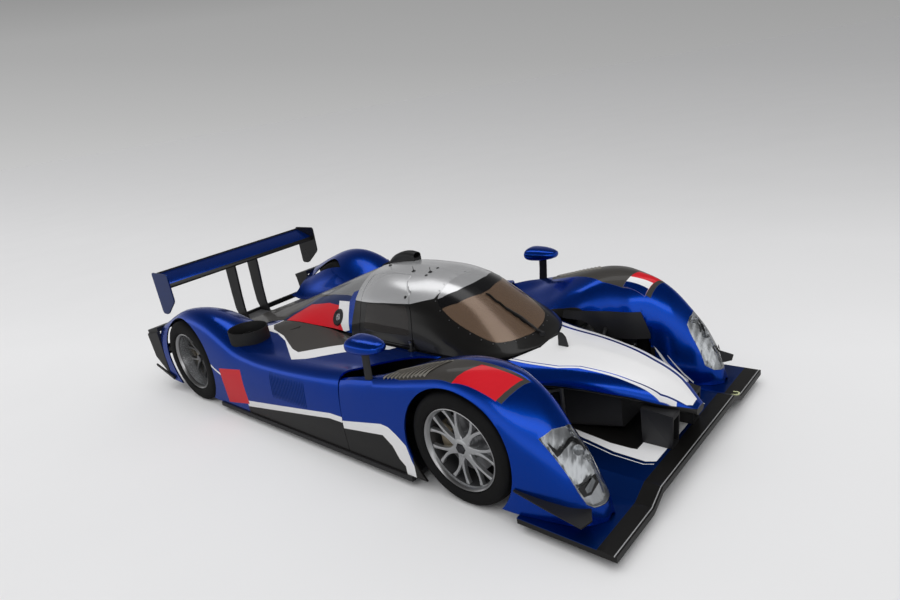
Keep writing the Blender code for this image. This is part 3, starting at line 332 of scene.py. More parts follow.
def trim(piece, shapes, how="DIFFERENCE", sharp=32):
    """Cuts the shapes out of the piece, joins them to it, or keeps what lies inside them."""
    tools = []
    for n, shape in enumerate(shapes):
        tools.append(solid(f"{piece.name}_tool_{n}", shape, body=None))
        change = piece.modifiers.new(f"trim_{n}", "BOOLEAN")
        change.operation, change.solver, change.object = how, "EXACT", tools[-1]
    bpy.context.view_layer.update()
    mesh = bpy.data.meshes.new_from_object(piece.evaluated_get(bpy.context.evaluated_depsgraph_get()))
    mesh.set_sharp_from_angle(angle=radians(sharp))
    piece.modifiers.clear()
    piece.data = mesh
    for tool in tools:
        bpy.data.objects.remove(tool)
    return piece


def eased(piece, width=0.0015):
    """A small round on the piece's sharp edges, as a maker's file leaves."""
    change = piece.modifiers.new("eased", "BEVEL")
    change.width, change.segments = width, 2
    change.limit_method, change.angle_limit = "ANGLE", radians(35)
    change.harden_normals = True
    return piece


def other_side(piece, coats=(), body="chassis"):
    """The mirror image of a left piece, for the right side."""
    mesh = piece.data.copy()
    mesh.transform(Matrix.Diagonal((1, -1, 1, 1)))
    mesh.flip_normals()
    if coats:
        mesh.materials.clear()
    for coat in coats:
        mesh.materials.append(coat)
    made = bpy.data.objects.new(piece.name.replace("_left", "_right"), mesh)
    scene.collection.objects.link(made)
    for change in piece.modifiers:
        eased(made, change.width)
    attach(made, body)
    return made


# Coats of paint: colour, then how metallic and how rough.
PAINTS = {
    "blue": ((0.0003, 0.070, 0.580), 0.92, 0.22),
    "deep_blue": ((0.0005, 0.034, 0.220), 0.85, 0.30),
    "white": ((0.80, 0.80, 0.80), 0.0, 0.30),
    "black": ((0.0070, 0.0066, 0.0062), 0.0, 0.34),
    "grey": ((0.050, 0.046, 0.042), 0.10, 0.42),
    "silver": ((0.84, 0.845, 0.855), 0.70, 0.25),
    # A darker copy of the silver: painted shade for where the silver shows a dark reflection.
    "pewter": ((0.36, 0.365, 0.37), 0.70, 0.24),
    "warm_grey": ((0.23, 0.215, 0.185), 0.20, 0.34),
    "red": ((0.64, 0.006, 0.016), 0.10, 0.32),
}
PAINT_EDGE = 0.0010


def area_inside(tree, flat, outline):
    """1 inside a convex outline drawn on a flat view, 0 outside it."""
    sides = list(zip(outline, outline[1:] + outline[:1]))
    turning = sum(a[0] * b[1] - b[0] * a[1] for a, b in sides)
    inside = None
    for a, b in sides:
        edge = Vector((b[0] - a[0], b[1] - a[1]))
        normal = Vector((-edge.y, edge.x)).normalized() * (1 if turning > 0 else -1)
        far = vector(tree, "DOT_PRODUCT", flat, (*normal, -normal.dot(Vector(a))))
        inside = far if inside is None else sum_of(tree, "MINIMUM", inside, far)
    return scaled(tree, inside, 0.5 / PAINT_EDGE, 0.5, clamp=True)


def below_line(tree, along, height, line):
    """1 where height is under a line through points (along, height), 0 above it."""
    start, end = line[0][0], line[-1][0]
    share = node(tree, "ShaderNodeMapRange", {0: along, 1: start, 2: end}).outputs[0]
    curve = ramp(tree, share, [((u - start) / (end - start), v) for u, v in line])
    return scaled(tree, sum_of(tree, "SUBTRACT", curve, height), 0.5 / PAINT_EDGE, 0.5, clamp=True)


def bump(tree, height, strength, distance=0.001):
    inputs = {"Height": height, "Strength": strength, "Distance": distance}
    return node(tree, "ShaderNodeBump", inputs).outputs[0]


def painted(name, ground, layers=()):
    """Paint in several colours over the ground. A layer is (paint, view, outline), or else (paint, view,
    upper line, lower line or None) with any number of (low, high), the stretches that it keeps to."""
    made, tree, surface, place = material(name)
    axes = node(tree, "ShaderNodeSeparateXYZ", {0: place}).outputs
    views = {"top": (axes[0], sum_of(tree, "ABSOLUTE", axes[1])), "deck": (axes[0], axes[1]),
             "side": (axes[0], axes[2])}
    flats = {}
    shade, metal, rough = PAINTS[ground]
    colour, feel = (*shade, 1), (metal, rough, 0)
    for paint, view, outline, *more in layers:
        u, v = views[view]
        if more:
            mask = below_line(tree, u, v, outline)
            if more[0]:
                mask = sum_of(tree, "MULTIPLY", mask,
                              sum_of(tree, "SUBTRACT", 1.0, below_line(tree, u, v, more[0])))
            for low, high in more[1:]:
                mask = sum_of(tree, "MULTIPLY", mask, sum_of(tree, "GREATER_THAN", u, low))
                mask = sum_of(tree, "MULTIPLY", mask, sum_of(tree, "LESS_THAN", u, high))
        else:
            if view not in flats:
                flats[view] = node(tree, "ShaderNodeCombineXYZ", {0: u, 1: v, 2: 1.0}).outputs[0]
            mask = area_inside(tree, flats[view], outline)
        shade, metal, rough = PAINTS[paint]
        colour = mix(tree, mask, colour, (*shade, 1))
        feel = node(tree, "ShaderNodeMix", {0: mask, 4: feel, 5: (metal, rough, 0)},
                    data_type="VECTOR").outputs[1]
    if layers:
        feel = node(tree, "ShaderNodeSeparateXYZ", {0: feel}).outputs
    haze = noise(tree, place, 6.0, 4.0)
    flake = noise(tree, place, 1400.0, 1.0)
    peel = noise(tree, place, 260.0, 1.0)
    bright = scaled(tree, flake, 0.04, scaled(tree, haze, 0.05, 0.955))
    feed(tree, surface, {
        "Base Color": dimmed(tree, colour, bright), "Metallic": feel[0],
        "Roughness": sum_of(tree, "ADD", feel[1], scaled(tree, haze, 0.10, -0.05)),
        "Normal": bump(tree, peel, 0.012), "Specular IOR Level": 0.30, "Coat Weight": 0.35,
        "Coat Roughness": 0.03})
    return made


def cold_grey(tree, level, blue):
    """A grey at the level, with its blue times blue."""
    return node(tree, "ShaderNodeCombineColor",
                {0: level, 1: level, 2: sum_of(tree, "MULTIPLY", level, blue)}).outputs[0]


def carbon_cloth(name, dark=0.012, rough=0.42, weave=0.35):
    """Bare carbon composite: a fine twill under a thin matt resin."""
    made, tree, surface, place = material(name)
    slant = node(tree, "ShaderNodeMapping", {"Vector": place, "Rotation": (0.6, 0.7, 0.785)}).outputs[0]
    tows = node(tree, "ShaderNodeTexWave", {"Vector": slant, "Scale": 70.0, "Distortion": 0.4}).outputs["Fac"]
    cross = node(tree, "ShaderNodeTexWave", {"Vector": slant, "Scale": 70.0},
                 bands_direction="Y").outputs["Fac"]
    twill = sum_of(tree, "MULTIPLY", tows, cross)
    smear = noise(tree, place, 4.0, 5.0)
    level = scaled(tree, smear, 0.4 * dark, scaled(tree, twill, weave * dark, dark * 0.85))
    feed(tree, surface, {"Base Color": cold_grey(tree, level, 1.06),
                         "Roughness": scaled(tree, smear, 0.16, rough - 0.08),
                         "Normal": bump(tree, twill, 0.05, 0.0005), "Specular IOR Level": 0.5})
    return made


bare_carbon = carbon_cloth("bare_carbon")
FENDER = [
    (0.424, 0.560, 0.400, 0.620, 0.430, 0.700, 0.462, 0.810, 0.505, 0.935, 0.560, 0.984, 0.330, 0.984, 0.078),
    (0.550, 0.540, 0.430, 0.600, 0.455, 0.690, 0.492, 0.810, 0.540, 0.940, 0.590, 0.984, 0.340, 0.984, 0.078),
    (0.700, 0.520, 0.460, 0.575, 0.482, 0.665, 0.525, 0.800, 0.585, 0.942, 0.615, 0.984, 0.350, 0.984, 0.078),
    (0.970, 0.462, 0.530, 0.520, 0.555, 0.610, 0.605, 0.780, 0.690, 0.945, 0.665, 0.984, 0.400, 0.984, 0.078),
    (1.170, 0.462, 0.530, 0.510, 0.605, 0.600, 0.690, 0.770, 0.757, 0.945, 0.712, 0.984, 0.450, 0.984, 0.078),
    (1.370, 0.510, 0.460, 0.538, 0.630, 0.612, 0.740, 0.770, 0.798, 0.945, 0.748, 0.984, 0.480, 0.984, 0.080),
    (1.480, 0.518, 0.300, 0.540, 0.520, 0.610, 0.728, 0.770, 0.803, 0.942, 0.738, 0.984, 0.480, 0.984, 0.085),
    (1.600, 0.528, 0.180, 0.545, 0.430, 0.610, 0.702, 0.770, 0.792, 0.932, 0.688, 0.982, 0.430, 0.984, 0.092),
    (1.750, 0.575, 0.113, 0.595, 0.370, 0.655, 0.650, 0.770, 0.746, 0.915, 0.588, 0.972, 0.380, 0.976, 0.092),
    (1.85, 0.600, 0.1005, 0.612, 0.315, 0.670, 0.575, 0.770, 0.670, 0.897, 0.520, 0.955, 0.330, 0.961, 0.092),
    (1.940, 0.622, 0.092, 0.637, 0.260, 0.690, 0.472, 0.770, 0.566, 0.876, 0.450, 0.932, 0.285, 0.942, 0.092),
    (2.050, 0.662, 0.092, 0.672, 0.205, 0.705, 0.322, 0.770, 0.408, 0.845, 0.330, 0.890, 0.215, 0.905, 0.092),
    (2.108, 0.692, 0.092, 0.702, 0.170, 0.728, 0.230, 0.770, 0.275, 0.815, 0.235, 0.845, 0.165, 0.860, 0.092),
    (2.148, 0.737, 0.092, 0.740, 0.102, 0.752, 0.112, 0.770, 0.117, 0.786, 0.112, 0.800, 0.102, 0.803, 0.092),
]
skin_thick = 0.012
front_wheel = (1.370, 0.340)
front_arch = 0.368
flank_upper = [(0.240, 0.270), (0.475, 0.311), (0.800, 0.373), (0.860, 0.368), (0.923, 0.334), (0.990, 0.281),
               (1.014, 0.184), (1.026, 0.155)]
flank_lower = [(0.240, 0.225), (0.475, 0.256), (0.800, 0.300), (0.870, 0.247), (0.909, 0.168), (0.950, 0.131)]
inner_foot = [(0.424, 0.600), (0.700, 0.548), (0.970, 0.499), (1.160, 0.497), (1.312, 0.511), (1.481, 0.542),
              (1.536, 0.545), (1.618, 0.556), (1.678, 0.573), (1.725, 0.585), (1.764, 0.596)]
fender_layers = [
    ("white", "side", [(1.757, 0.352), (1.800, 0.300), (1.840, 0.240), (1.900, 0.178), (1.960, 0.128)],
     [(1.757, 0.345), (1.800, 0.272), (1.840, 0.208), (1.900, 0.155), (1.960, 0.112)], (1.757, 1.960)),
    ("white", "side", [(1.838, 0.296), (1.890, 0.230), (1.936, 0.172), (1.990, 0.116)],
     [(1.838, 0.292), (1.890, 0.216), (1.936, 0.158), (1.990, 0.104)], (1.838, 1.990)),
    ("blue", "top", [(1.70, 1.10), (2.10, 1.10)], [(1.70, 0.75), (2.10, 0.75)], (1.70, 2.10)),
    ("white", "side", flank_upper, None, (-1, 1.026)),
    ("black", "side", flank_lower, None, (-1, 0.950)),
    # Black at the fender's low rear corner beside the wheel opening: partly the black lip, partly painted shade of
    # the wheel arch.
    ("black", "side", [(1.026, 0.260), (1.200, 0.260)], None, (1.026, 1.200)),
    ("black", "top", inner_foot, None, (0.42, 1.764)),
]
fender_paint_right = painted("fender_paint_right", "blue", fender_layers + [
    ("grey", "top", [(1.768, 0.765), (1.679, 0.906), (1.400, 0.947), (1.000, 0.940), (0.824, 0.914),
                     (0.916, 0.825), (1.180, 0.790)]),
    ("red", "top", [(1.500, 0.805), (1.734, 0.780), (1.650, 0.913), (1.404, 0.947)]),
])
fender_paint_left = painted("fender_paint_left", "blue", fender_layers + [
    ("grey", "top", [(1.775, 0.769), (1.680, 0.906), (1.400, 0.947), (1.000, 0.940), (0.824, 0.914),
                     (0.850, 0.845), (1.400, 0.631), (1.554, 0.620), (1.729, 0.650)]),
    ("red", "top", [(1.553, 0.625), (1.597, 0.790), (1.760, 0.790), (1.695, 0.638)]),
    ("white", "top", [(1.553, 0.625), (1.573, 0.702), (1.724, 0.712), (1.695, 0.638)]),
    ("blue", "top", [(1.553, 0.625), (1.562, 0.660), (1.707, 0.673), (1.695, 0.638)]),
])


def circle(centre, radius, count):
    return [(centre[0] + radius * cos(2 * pi * s / count), centre[1] + radius * sin(2 * pi * s / count))
            for s in range(count)]


def box(low, high):
    (x0, y0, z0), (x1, y1, z1) = low, high
    return prism([(x0, y0), (x1, y0), (x1, y1), (x0, y1)], z0, z1, 2)


lamp_outline = [(0.845, 0.178), (0.790, 0.175), (0.745, 0.180), (0.700, 0.192), (0.678, 0.225),
                (0.682, 0.314), (0.686, 0.391), (0.690, 0.441), (0.697, 0.486), (0.724, 0.528),
                (0.765, 0.549), (0.837, 0.548), (0.893, 0.513), (0.888, 0.439), (0.884, 0.356),
                (0.880, 0.270), (0.868, 0.200)]
fender_grid = grid_of(FENDER, np.linspace(0.424, 2.148, 92), 5)
fender = solid("fender_skin_left", shell_of(fender_grid, skin_thick), (fender_paint_left, bare_carbon),
               sheet=fender_grid)
trim(fender, [prism(circle(front_wheel, front_arch, 128), 0.800, 1.1, 1),
              box((1.16, 0.40, 0.10), (1.738, 0.60, 0.580)),
              prism(lamp_outline, 1.70, 2.30, 0)])
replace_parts(fender, "front_fender_left")
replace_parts(other_side(fender, (fender_paint_right, bare_carbon)), "front_fender_right")

# Dive planes. Each is a small carbon blade, bonded along the outer front corner
# of the fender, that turns air upwards.
dive_plan = [(1.740, 0.958), (1.820, 0.951), (1.900, 0.938), (2.000, 0.905), (2.090, 0.850), (2.135, 0.925),
             (2.120, 0.999), (1.920, 0.999), (1.740, 0.992)]
dive_low = [(x, y, 0.236 - (x - 1.74) * 0.180) for x, y in dive_plan]
other_side(eased(solid("dive_plane_left", loft([dive_low, [(x, y, z + 0.008) for x, y, z in dive_low]]),
                       (bare_carbon,))))

# Closing panel over the suspension arms, and the slatted vent that lets hot air out
# of the wheel well through the fender's top. Both are black composite.
well_panel = solid("arm_panel_left", shell_of(fender_grid, 0.004), (bare_carbon,))
trim(well_panel, [box((1.162, 0.40, 0.400), (1.736, 0.60, 0.5788))], "INTERSECT")
other_side(well_panel)
fender_leans = grid_normals(fender_grid)


def over_fender(x, y):
    """The point of the left fender's outside over x, y and its outward normal."""
    far = (fender_grid[:, :, 0] - x) ** 2 + (fender_grid[:, :, 1] - y) ** 2
    i, j = np.unravel_index(np.argmin(far + 10.0 * (fender_grid[:, :, 2] < 0.40)), far.shape)
    i, j = min(max(i, 1), len(fender_grid) - 2), min(max(j, 1), fender_grid.shape[1] - 2)
    lean = fender_leans[i, j]
    spot = fender_grid[i, j]
    lift = -(lean[0] * (x - spot[0]) + lean[1] * (y - spot[1])) / lean[2]
    return Vector((x, y, spot[2] + lift)), Vector(lean)


def gathered(shapes):
    """Several shapes as one."""
    points, faces = [], []
    for more, sides in shapes:
        faces += [tuple(v + len(points) for v in face) for face in sides]
        points += more
    return points, faces


slats = []
for n in range(11):
    outer, inner = np.array([0.850 + 0.034 * n, 0.932]), np.array([0.960 + 0.034 * n, 0.842 - 0.0045 * n])
    rings = []
    for t in np.linspace(0, 1, 12):
        spot, lean = over_fender(*(outer + t * (inner - outer)))
        rise = 0.0075 * min(1.0, 7 * t, 7 * (1 - t)) + 0.0004
        forward = Vector((0.011, 0.009, 0.0))
        forward -= forward.dot(lean) * lean
        rings.append([tuple(spot + lean * up + forward * on) for up, on in (
            (-0.002, -1.0), (0.0004, -1.0), (rise, 0.6), (rise - 0.0016, 0.75), (-0.002, 0.2))])
    slats.append(loft(rings))
vent_grey = painted("vent_grey", "warm_grey")
other_side(solid("fender_vent_left", gathered(slats), (vent_grey,)))


# Headlamps. A clear moulded cover lies flush in the fender's skin over a silvered
# tray with three round reflectors one under another and a dark lens at the foot.
def brushed(name, shade, rough=0.35, metallic=1.0, scale=40.0, swing=0.10):
    """Metal with a fine grain in its colour, its gloss and its surface."""
    made, tree, surface, place = material(name)
    grain = noise(tree, place, scale, 5.0)
    feed(tree, surface, {"Base Color": dimmed(tree, (*shade, 1), scaled(tree, grain, 0.20, 0.90)),
                         "Roughness": scaled(tree, grain, swing, rough - swing / 2),
                         "Normal": bump(tree, grain, 0.04), "Metallic": metallic})
    return made


def clear(name, tint, rough=0.02, haze=0.03, ior=1.45):
    """A clear or tinted sheet with faint wipe marks."""
    made, tree, surface, place = material(name)
    marks = noise(tree, place, 5.0, 6.0)
    feed(tree, surface, {"Base Color": dimmed(tree, (*tint, 1), scaled(tree, marks, 0.08, 0.95)),
                         "Roughness": scaled(tree, marks, haze, rough), "Transmission Weight": 1.0,
                         "IOR": ior})
    return made


def lathe(profile, segments, place=(0, 0, 0), axis="Z"):
    """A surface turned round an axis through place; the profile is an open list of (radius, height)."""
    points, faces = [], []
    count = len(profile)
    for s in range(segments):
        turn = 2 * pi * s / segments
        for r, h in profile:
            u, v = r * cos(turn), r * sin(turn)
            spot = {"Y": (u, h, v), "Z": (u, v, h)}[axis]
            points.append(tuple(a + b for a, b in zip(spot, place)))
    for s in range(segments):
        t = (s + 1) % segments
        for j in range(count - 1):
            faces.append((s * count + j, s * count + j + 1, t * count + j + 1, t * count + j))
    return points, faces


def stood(name, profile, segments, spot, lean, coat, body="chassis", slot="metal"):
    """A turned piece set on a surface, its axis along the surface's normal."""
    made = solid(name, lathe(profile, segments), (coat,), body=None)
    made.data.transform(Matrix.Translation(spot) @ lean.to_track_quat("Z", "Y").to_matrix().to_4x4())
    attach(made, body)
    return made


silvered = brushed("silvered_reflector", (0.96, 0.97, 0.98), rough=0.22, metallic=0.72, scale=14.0,
                   swing=0.20)
lamp_cover = clear("lamp_cover", (0.97, 0.985, 1.0), ior=1.3)
lens_grey = brushed("lens_grey", (0.20, 0.21, 0.22), rough=0.20, metallic=0.6, scale=30.0)
dark_moulding = carbon_cloth("dark_moulding", dark=0.016, rough=0.5, weave=0.1)
lamp_grid = grid_of(FENDER, np.linspace(1.75, 2.148, 48), 5)
lamp_middle = np.array((0.785, 0.360))


def lamp_view(grow):
    view = []
    for point in lamp_outline:
        away = np.array(point) - lamp_middle
        view.append(tuple(lamp_middle + away * (1 + grow / np.linalg.norm(away))))
    return prism(view, 1.70, 2.30, 0)


seal = 0.0008
cover = solid("lamp_cover_left", shell_of(lamp_grid, 0.004), (lamp_cover,))
trim(cover, [lamp_view(-seal)], "INTERSECT")
ripples = np.array([[0.022 + 0.0032 * sin(0.95 * i + 0.8 * j) * cos(0.55 * i - 1.1 * j)
                     + 0.0018 * sin(2.3 * i + 1.7 * j)
                     for j in range(lamp_grid.shape[1])] for i in range(len(lamp_grid))])
lamp_leans = grid_normals(lamp_grid)
tray = solid("lamp_tray_left", shell_of(lamp_grid - ripples[:, :, None] * lamp_leans, 0.004), (silvered,))
trim(tray, [lamp_view(-0.004)], "INTERSECT")
wall = solid("lamp_wall_left", shell_of(lamp_grid - 0.0045 * lamp_leans, 0.034), (silvered,))
trim(wall, [lamp_view(-0.0012)], "INTERSECT")
trim(wall, [lamp_view(-0.0040)])
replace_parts(cover, "headlamp_left")
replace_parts(other_side(cover), "headlamp_right")
other_side(tray)
other_side(wall)


def behind_cover(x, y, deep):
    """A point behind the lamp's cover, deep below the outside of the fender over x, y."""
    spot, lean = over_fender(x, y)
    return spot - lean * deep, lean


def under_cover(name, outline, deep, thick, coat):
    """A flat piece each side that follows the cover's inner side, from its outline as seen from above."""
    top, low = [[tuple(behind_cover(x, y, at)[0]) for x, y in outline] for at in (deep, deep + thick)]
    other_side(solid(name, loft([top, low]), (coat,)))


under_cover("lamp_bracket_left", [
    (1.900, 0.880), (1.912, 0.876), (1.944, 0.868), (1.957, 0.848), (1.966, 0.840), (1.976, 0.805),
    (1.985, 0.785), (2.010, 0.757), (2.030, 0.745), (2.036, 0.757), (1.994, 0.794), (1.974, 0.840),
    (1.960, 0.868), (1.950, 0.880),
], 0.0055, 0.004, dark_moulding)
under_cover("lamp_lens_left", [
    (2.050, 0.884), (2.092, 0.782), (2.112, 0.790), (2.100, 0.850), (2.078, 0.882),
], 0.0055, 0.006, dark_moulding)
under_cover("lamp_lens_glass_left", [
    (2.074, 0.862), (2.094, 0.812), (2.104, 0.806), (2.096, 0.845), (2.086, 0.864),
], 0.0048, 0.0006, lens_grey)
for n, (x, y, radius) in enumerate(((1.975, 0.742, 0.022), (2.020, 0.800, 0.024), (2.050, 0.765, 0.020))):
    spot, lean = behind_cover(x, y, 0.016)
    bowl = [(0.003, -0.006), (radius * 0.5, -0.003), (radius * 0.8, 0.003), (radius, 0.008),
            (radius + 0.0025, 0.008), (radius + 0.0025, 0.002)]
    bulb = [(0.0, 0.008), (0.005, 0.007), (0.007, 0.003), (0.007, -0.006)]
    for word, profile, coat in (("reflector", bowl, silvered), ("bulb", bulb, lamp_cover)):
        other_side(stood(f"lamp_{word}_{n}_left", profile, 40, spot, lean, coat, slot="lamp"))


# Nose. One moulded cone from the front bulkhead to the tip, white on top with blue
# cheeks that turn black underneath; its rear edge is cut to the foot of the screen.
NOSE = [
    (0.950, 0.000, 0.600, 0.360, 0.585, 0.425, 0.560, 0.448, 0.520, 0.380, 0.500, 0.000, 0.500),
    (1.150, 0.000, 0.597, 0.315, 0.576, 0.400, 0.548, 0.440, 0.505, 0.365, 0.482, 0.000, 0.482),
    (1.370, 0.000, 0.585, 0.250, 0.562, 0.350, 0.530, 0.405, 0.470, 0.305, 0.448, 0.000, 0.442),
    (1.650, 0.000, 0.574, 0.200, 0.550, 0.270, 0.520, 0.300, 0.455, 0.222, 0.422, 0.000, 0.414),
    (1.950, 0.000, 0.528, 0.150, 0.506, 0.195, 0.475, 0.212, 0.415, 0.160, 0.386, 0.000, 0.380),
    (2.150, 0.000, 0.452, 0.098, 0.435, 0.128, 0.410, 0.138, 0.365, 0.100, 0.342, 0.000, 0.338),
    (2.285, 0.000, 0.344, 0.034, 0.337, 0.046, 0.325, 0.048, 0.310, 0.034, 0.296, 0.000, 0.294),
]
nose_edge = [(0.940, 0.330), (1.340, 0.272), (1.572, 0.236), (1.685, 0.188), (1.977, 0.149), (2.128, 0.128),
             (2.240, 0.070), (2.300, 0.000)]
nose_line = [(x, y + 0.006) for x, y in nose_edge]
nose_thin = [(x, y + 0.020) for x, y in nose_edge]
nose_left = [(0.940, 0.300), (1.100, 0.290), (1.334, 0.240), (1.550, 0.205), (1.700, 0.178), (1.984, 0.105),
             (2.162, 0.066), (2.300, 0.000)]
nose_low = [(0.940, 0.520), (1.610, 0.466), (1.995, 0.420), (2.208, 0.362), (2.300, 0.330)]
nose_paint = painted("nose_paint", "blue", [
    ("white", "top", nose_thin, nose_line, (-1, 2.20)),
    ("white", "top", nose_edge, None, (-1, 2.262)),
    ("blue", "deck", [(0.940, 0.600), (2.300, 0.600)], nose_left),
    ("white", "deck", [(x, y + 0.070) for x, y in nose_left], [(x, y + 0.026) for x, y in nose_left],
     (-1, 2.18)),
    ("black", "side", nose_low, None),
])


CABIN = [
    (-0.045, 0.00, 0.985, 0.13, 0.968, 0.24, 0.915, 0.32, 0.840, 0.365, 0.760, 0.405, 0.680, 0.430, 0.596),
    (0.150, 0.00, 1.010, 0.15, 0.994, 0.27, 0.944, 0.35, 0.875, 0.390, 0.790, 0.422, 0.700, 0.440, 0.596),
    (0.400, 0.00, 1.012, 0.15, 0.997, 0.28, 0.950, 0.36, 0.882, 0.398, 0.795, 0.428, 0.702, 0.445, 0.596),
    (0.600, 0.00, 0.992, 0.15, 0.978, 0.28, 0.934, 0.36, 0.872, 0.400, 0.790, 0.430, 0.700, 0.447, 0.596),
    (0.750, 0.00, 0.948, 0.15, 0.935, 0.27, 0.897, 0.35, 0.843, 0.395, 0.770, 0.428, 0.690, 0.448, 0.596),
    (0.900, 0.00, 0.865, 0.14, 0.855, 0.25, 0.826, 0.33, 0.782, 0.382, 0.728, 0.422, 0.668, 0.447, 0.596),
    (1.050, 0.00, 0.752, 0.13, 0.745, 0.23, 0.727, 0.31, 0.700, 0.365, 0.668, 0.405, 0.638, 0.434, 0.595),
    (1.180, 0.00, 0.660, 0.11, 0.656, 0.20, 0.646, 0.27, 0.633, 0.315, 0.620, 0.350, 0.607, 0.378, 0.590),
    (1.290, 0.00, 0.606, 0.07, 0.604, 0.13, 0.601, 0.18, 0.597, 0.215, 0.593, 0.240, 0.588, 0.258, 0.583),
    (1.355, 0.00, 0.590, 0.03, 0.5895, 0.055, 0.589, 0.075, 0.588, 0.090, 0.587, 0.100, 0.586, 0.108, 0.584),
]


def full_grid(rows, stations, each):
    half = grid_of(rows, stations, each)
    return np.concatenate([half[:, :0:-1] * np.array([1, -1, 1]), half], axis=1)


cabin_back, cabin_front = -0.045, 1.355


def under_cabin(grow):
    """All the space under the cabin's skin grown by grow, to clear what stands against it."""
    grid = full_grid(CABIN, np.linspace(cabin_back, cabin_front, 40), 2)
    grid = grid + grow * grid_normals(grid)
    sections = [[tuple(p) for p in line] + [(line[-1][0], line[-1][1], 0.30), (line[0][0], line[0][1], 0.30)]
                for line in grid]
    first = [(x - 0.30, y, z) for x, y, z in sections[0]]
    last = [(x + grow, y, z) for x, y, z in sections[-1]]
    return loft([first] + sections + [last])


nose_half = grid_of(NOSE, np.concatenate([np.linspace(0.95, 2.2, 60),
                                          [2.215, 2.23, 2.245, 2.26, 2.274, 2.285]]), 6)
nose = solid("nose_skin", loft([[tuple(p) for p in line] + [(x, -y, z) for x, y, z in line[-2:0:-1]]
                                for line in nose_half]), (nose_paint,), sharp=40)
trim(nose, [under_cabin(0.005)], sharp=40)
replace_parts(nose, "nose_cone")


# Cabin. A closed composite roof over the tub, silver above the waist line and black
# below it and round the screen, with one opening for the screen and one for each door.
def grown(view, grow):
    """The outline moved out by grow, or in where grow is negative."""
    middle = np.mean(view, axis=0)
    out = []
    for n, point in enumerate(view):
        before = np.array(view[n - 1], float)
        here = np.array(point, float)
        after = np.array(view[(n + 1) % len(view)], float)
        first = here - before
        second = after - here
        first = np.array([first[1], -first[0]]) / np.linalg.norm(first)
        second = np.array([second[1], -second[0]]) / np.linalg.norm(second)
        if np.dot(first, here - middle) + np.dot(second, here - middle) < 0:
            first, second = -first, -second
        move = (first + second) / (1 + np.dot(first, second))
        out.append(tuple(here + grow * move))
    return out


def as_shape(piece):
    """The points and faces of an object, to cut with; the object is used up."""
    mesh = piece.data
    shape = [tuple(v.co) for v in mesh.vertices], [tuple(p.vertices) for p in mesh.polygons]
    bpy.data.objects.remove(piece)
    return shape


def mirrored(shape):
    return [(x, -y, z) for x, y, z in shape[0]], shape[1]


def rounded(outline, radius=0.03, steps=5):
    """The closed outline with its corners turned into arcs."""
    out = []
    for n, here in enumerate(outline):
        here = Vector(here)
        before, after = Vector(outline[n - 1]), Vector(outline[(n + 1) % len(outline)])
        first, second = before - here, after - here
        reach = min(radius, 0.48 * first.length, 0.48 * second.length)
        a, b = here + first.normalized() * reach, here + second.normalized() * reach
        out += [tuple(a * (1 - t) ** 2 + here * 2 * t * (1 - t) + b * t * t)
                for t in np.linspace(0, 1, steps)]
    return out


WINDSCREEN_VIEW = [(0.735, 0.300), (0.710, 0.150), (0.702, 0.0), (0.710, -0.150), (0.735, -0.300),
                   (0.820, -0.328), (0.920, -0.334), (1.030, -0.318), (1.120, -0.292), (1.168, -0.262),
                   (1.222, -0.165), (1.256, 0.0), (1.222, 0.165), (1.168, 0.262), (1.120, 0.292),
                   (1.030, 0.318), (0.920, 0.334), (0.820, 0.328)]
DOOR_FRONT_X = 0.608
DOOR_REAR_X = 0.020
DOOR_LOW_Z = 0.604
DOOR_TOP_Y = 0.160
DOOR_VIEW = [(DOOR_REAR_X + 0.032, DOOR_LOW_Z), (DOOR_FRONT_X, DOOR_LOW_Z), (DOOR_FRONT_X - 0.008, 0.720),
             (DOOR_FRONT_X - 0.030, 0.824), (DOOR_FRONT_X - 0.080, 0.916), (DOOR_FRONT_X - 0.178, 0.975),
             (DOOR_FRONT_X - 0.308, 1.100), (DOOR_REAR_X, 1.100), (DOOR_REAR_X, 0.930),
             (DOOR_REAR_X + 0.018, 0.840), (DOOR_REAR_X + 0.033, 0.740)]
LEAF_VIEW = [DOOR_VIEW[0], (DOOR_FRONT_X - 0.060, DOOR_LOW_Z), (DOOR_FRONT_X - 0.001, DOOR_LOW_Z + 0.014),
             *DOOR_VIEW[2:7], (DOOR_REAR_X + 0.006, 1.100), (DOOR_REAR_X + 0.004, 0.930), *DOOR_VIEW[9:]]
GLASS_VIEW = [(0.110, 0.652), (0.572, 0.676), (0.562, 0.780), (0.525, 0.858), (0.128, 0.838)]
HINGE_FOOT = (0.598, 0.458, 0.622)
HINGE_LEAN = (-0.3567, -0.4875, 0.7969)
JAMB = [(0.024, 0.0190), (0.050, 0.0270), (0.076, 0.0375), (0.095, 0.0450), (0.123, 0.0530), (0.169, 0.0645),
        (0.205, 0.0730), (0.234, 0.0730), (0.269, 0.0720), (0.296, 0.0680), (0.321, 0.0640), (0.350, 0.0610),
        (0.372, 0.0400), (0.400, 0.0235)]


def hinge_point(along):
    return tuple(a + along * b for a, b in zip(HINGE_FOOT, HINGE_LEAN))


def tube(path, radius, sides=12):
    """A round bar or pipe through points, the radius given once or at each point."""
    radii = radius if isinstance(radius, (list, tuple)) else [radius] * len(path)
    path = [Vector(p) for p in path]
    rings = []
    side = None
    for n, (spot, r) in enumerate(zip(path, radii)):
        way = (path[min(n + 1, len(path) - 1)] - path[max(n - 1, 0)]).normalized()
        if side is None:
            side = way.orthogonal().normalized()
        side = (side - side.dot(way) * way).normalized()
        up = way.cross(side)
        rings.append([tuple(spot + r * (side * cos(2 * pi * s / sides) + up * sin(2 * pi * s / sides)))
                      for s in range(sides)])
    return loft(rings)


